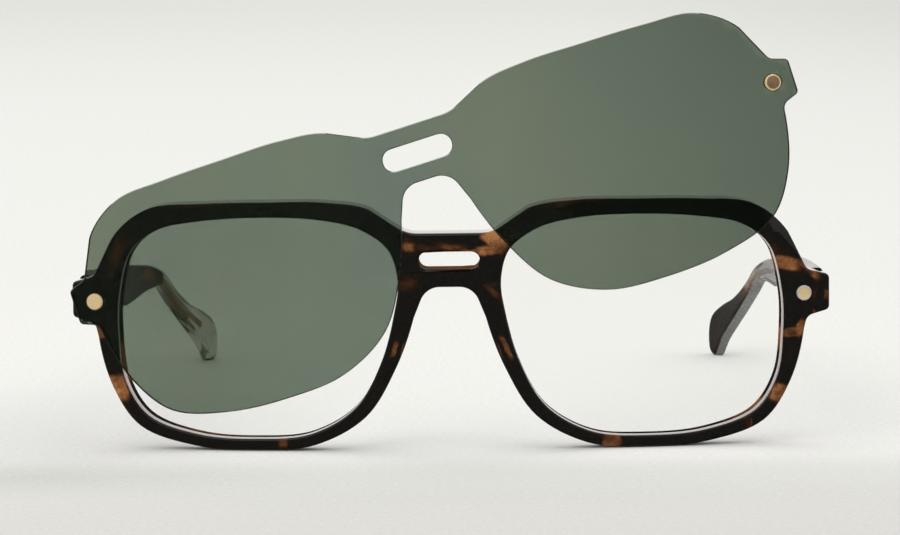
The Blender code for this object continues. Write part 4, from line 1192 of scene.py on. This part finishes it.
# Painted amber light on the slot's walls: a brown glow laid over the acetate
slot_painted_glow_acetate = finish_acetate("tortoiseshell_slot_wall_painted_glow", 0.5, 0.0, lit=0.85,
                              glow=(0.22, 0.115, 0.062))
# Painted highlight on the bridge's top: a pale glow laid over the acetate
painted_bridge_highlight = finish_acetate("tortoiseshell_bridge_painted_highlight", 0.10, 0.5, lit=0.30,
                           glow=(0.90, 0.89, 0.86))
temple_acetate = {
    "left": finish_acetate("tortoiseshell_left_temple", 0.35, 0.03),
    "right": finish_acetate("tortoiseshell_right_temple", 0.16, 0.22),
}
tip_crystal = {
    "left": finish_crystal("left_tip_acetate", (
        ((-50.0, 60.0, 12.0), (2.0, 2.0, 2.0), 0.0, 0.5, 0.3),
    ), 1.35, (0.62, 0.62, 0.60)),
    "right": finish_crystal("right_tip_acetate", (
        ((63.5, 45.0, 17.5), (4.0, 3.2, 3.5), 0.0, 0.5, 0.48),
        ((58.0, 60.0, 6.0), (12.0, 15.0, 11.0), 0.0, 0.25, 1.0),
    ), 1.07, (0.25, 0.245, 0.235)),
}
# A painted shade on the right tip's underside; the left tip's underside stays clear crystal
tip_underside = {
    "left": tip_crystal["left"],
    "right": finish_edge("right_tip_painted_shade", (0.105, 0.103, 0.099), (0.160, 0.157, 0.152)),
}
clear = finish_clear()
tint = finish_sun_tint()
tint_edge = finish_edge("sun_lens_dark_edge", (0.012, 0.015, 0.011), (0.022, 0.027, 0.020))
# A painted highlight on the sun lens's edges that look up
painted_highlight_edge = finish_edge("sun_lens_painted_highlight_edge", (0.46, 0.48, 0.45), (0.56, 0.58, 0.55),
                        polish=0.08)
gold = finish_metal("pale_gold_plate", (0.93, 0.70, 0.37), (1.0, 0.78, 0.44), 0.60,
                    6000.0, 500.0, metallic=0.45)
nickel = finish_metal("nickel_white_rim", (0.80, 0.77, 0.70), (0.90, 0.87, 0.80), 0.42,
                      6000.0, 500.0, metallic=0.55)
steel = finish_metal("hinge_steel_satin", (0.56, 0.55, 0.53), (0.68, 0.67, 0.65), 0.28,
                     4000.0, 300.0)
core_metal = finish_metal("core_wire_bronze", (0.42, 0.27, 0.12), (0.52, 0.36, 0.18), 0.35,
                          3000.0, 400.0)
brown_magnet = finish_metal("brown_sintered_magnet", (0.58, 0.41, 0.24), (0.75, 0.55, 0.36), 0.62,
                            5000.0, 900.0)


def lay_card(name, size, location, rotation=(0, 0, 0), scale=(1.0, 1.0, 1.0)):
    """A flat card, laid or stood in its place."""
    pick_none()
    bpy.ops.mesh.primitive_plane_add(size=size, location=location, rotation=rotation)
    card = bpy.context.view_layer.objects.active
    card.name = name
    card.scale = scale
    return settle(card)


def set_table():
    """A pale paper table with painted light and shade: darker in front of the glasses, to their
    left and far behind at right, and lighter round and just behind them.
    """
    table = lay_card("table", 12.0, (0, 0, 0))
    material, tree, shader, where = start_finish("pale_table_paper")
    split = add_node(tree, 'ShaderNodeSeparateXYZ', {0: where}).outputs
    # Painted light and shade by depth: darker in front of the glasses, a painted pool of light
    # round and just behind them, darker again far behind
    colour = ramp(tree, spread(tree, split["Y"], -0.20, 1.40, 0.0, 1.0), (
        (0.00, (0.725, 0.720, 0.685)),
        (0.05, (0.765, 0.760, 0.725)),
        (0.068, (0.825, 0.820, 0.790)),
        (0.079, (0.950, 0.945, 0.918)),
        (0.12, (0.945, 0.940, 0.913)),
        (0.17, (0.925, 0.920, 0.893)),
        (0.26, (0.900, 0.895, 0.868)),
        (0.60, (0.870, 0.868, 0.842)),
        (1.00, (0.820, 0.820, 0.782)),
    ))
    fleck = noise(tree, where, 900.0, 3.0, 0.7)["Fac"]
    tone = spread(tree, fleck, *NOISE_RANGE, 0.94, 1.05)
    # A painted shadow in front of the glasses, to their left
    painted_shadow_near_left = (
        spread(tree, split["X"], -0.020, -0.075, 0.0, 0.14),
        spread(tree, split["Y"], 0.030, -0.085, 0.0, 1.0),
        spread(tree, split["Y"], -0.120, -0.095, 0.0, 1.0),
    )
    # Painted shade far behind, at right
    painted_shade_far_right = (
        spread(tree, split["X"], 0.030, 0.190, 0.0, 0.08),
        spread(tree, split["Y"], 0.30, 1.10, 0.0, 1.0),
    )
    for painted_shade, *masks in (painted_shadow_near_left, painted_shade_far_right):
        for mask in masks:
            painted_shade = calculate(tree, 'MULTIPLY', painted_shade, mask)
        tone = calculate(tree, 'SUBTRACT', tone, painted_shade)
    tree.links.new(shade_colour(tree, colour, tone), shader.inputs["Base Color"])
    set_plain(shader, {"Roughness": 0.9, "Specular IOR Level": 0.0})
    set_bump(tree, shader, fleck, 0.15, 0.0002)
    table.data.materials.append(material)


def hide_but_gloss(card):
    """Leave a card to be seen in reflections only."""
    card.visible_camera = card.visible_diffuse = False
    card.visible_transmission = card.visible_shadow = False


def set_cards():
    """Cards seen only in reflections: black in front, so the gloss stays dark, and white behind."""
    black = lay_card("black_card", 1.0, (0, -0.3325, 0.0003), scale=(1.1, 0.545, 1.0))
    # Fold its front edge up
    edges_by(black, lambda co: co.y < -0.6)
    bpy.ops.mesh.extrude_region_move(TRANSFORM_OT_translate={"value": (0, 0, 0.14)})
    out_of_edit()
    material, _, shader = make_material("black_card_paper")
    set_plain(shader, {
        "Base Color": (0.012, 0.012, 0.012, 1.0), "Roughness": 0.9, "Specular IOR Level": 0.0})
    black.data.materials.append(material)
    hide_but_gloss(black)
    white = lay_card("white_card", 1.0, (0, 0.95, 0.24), rotation=(pi / 2, 0, 0),
                     scale=(2.2, 0.40, 1.0))
    material, _, shader = make_material("white_card_glow")
    set_plain(shader, {
        "Base Color": (0, 0, 0, 1.0), "Emission Color": (1.0, 0.99, 0.97, 1.0),
        "Emission Strength": 1.25})
    white.data.materials.append(material)
    hide_but_gloss(white)


def add_softbox(name, place, aim, wide, high, energy):
    """A rectangular lamp at a place, turned to what it aims at."""
    lamp = bpy.data.lights.new(name, 'AREA')
    lamp.shape = 'RECTANGLE'
    lamp.size = wide
    lamp.size_y = high
    lamp.energy = energy
    box = bpy.data.objects.new(name, lamp)
    bpy.context.scene.collection.objects.link(box)
    away = Vector(place) - Vector(aim)
    turn = away.to_track_quat('Z', 'Y').to_matrix().to_4x4()
    box.matrix_world = Matrix.Translation(place) @ turn


def set_lights():
    """Even soft light all round, a broad softbox high behind and a weaker one in front.

    In reflections the room is darker in front than behind."""
    add_softbox("back_softbox", (-0.25, 0.75, 1.05), (0, 0, 0.03), wide=1.2, high=0.9, energy=2.0)
    add_softbox("front_softbox", (-0.45, -0.95, 0.60), (0, -0.05, 0.03), wide=1.1, high=0.7,
                energy=2.0)
    world = bpy.data.worlds.new("studio_white")
    bpy.context.scene.world = world
    world.use_nodes = True
    tree = world.node_tree
    background = tree.nodes["Background"]
    around = tree.nodes.new('ShaderNodeTexCoord').outputs["Generated"]
    split = add_node(tree, 'ShaderNodeSeparateXYZ', {0: around})
    behind = spread(tree, split.outputs["Y"], -0.5, 0.3, 0.35, 1.0)
    in_gloss = tree.nodes.new('ShaderNodeLightPath').outputs["Is Glossy Ray"]
    strength = add_node(tree, 'ShaderNodeMix', {0: in_gloss, 2: 0.90, 3: behind},
                        data_type='FLOAT')
    tree.links.new(strength.outputs[0], background.inputs["Strength"])
    background.inputs["Color"].default_value = (0.97, 0.97, 0.955, 1.0)


def set_camera():
    """The camera: in front, a little to the right and above, aimed at its target and rolled."""
    flat = cos(CAMERA_RISE)
    back = Vector((sin(CAMERA_TURN) * flat, -cos(CAMERA_TURN) * flat, sin(CAMERA_RISE)))
    right = Vector((0, 0, 1)).cross(back).normalized()
    up = back.cross(right)
    across = right * cos(CAMERA_ROLL) + up * sin(CAMERA_ROLL)
    upward = -right * sin(CAMERA_ROLL) + up * cos(CAMERA_ROLL)
    lens = bpy.data.cameras.new("camera")
    lens.lens = FOCAL_LENGTH
    lens.sensor_width = 36.0
    lens.sensor_fit = 'HORIZONTAL'
    lens.clip_start = 0.05
    camera = bpy.data.objects.new("camera", lens)
    bpy.context.scene.collection.objects.link(camera)
    turned = Matrix((across, upward, back)).transposed().to_4x4()
    place = Matrix.Translation(Vector(CAMERA_TARGET) + back * CAMERA_AWAY)
    camera.matrix_world = place @ turned
    bpy.context.scene.camera = camera


put_together()
set_table()
set_cards()
set_lights()
set_camera()
bpy.context.scene.view_settings.view_transform = 'Standard'
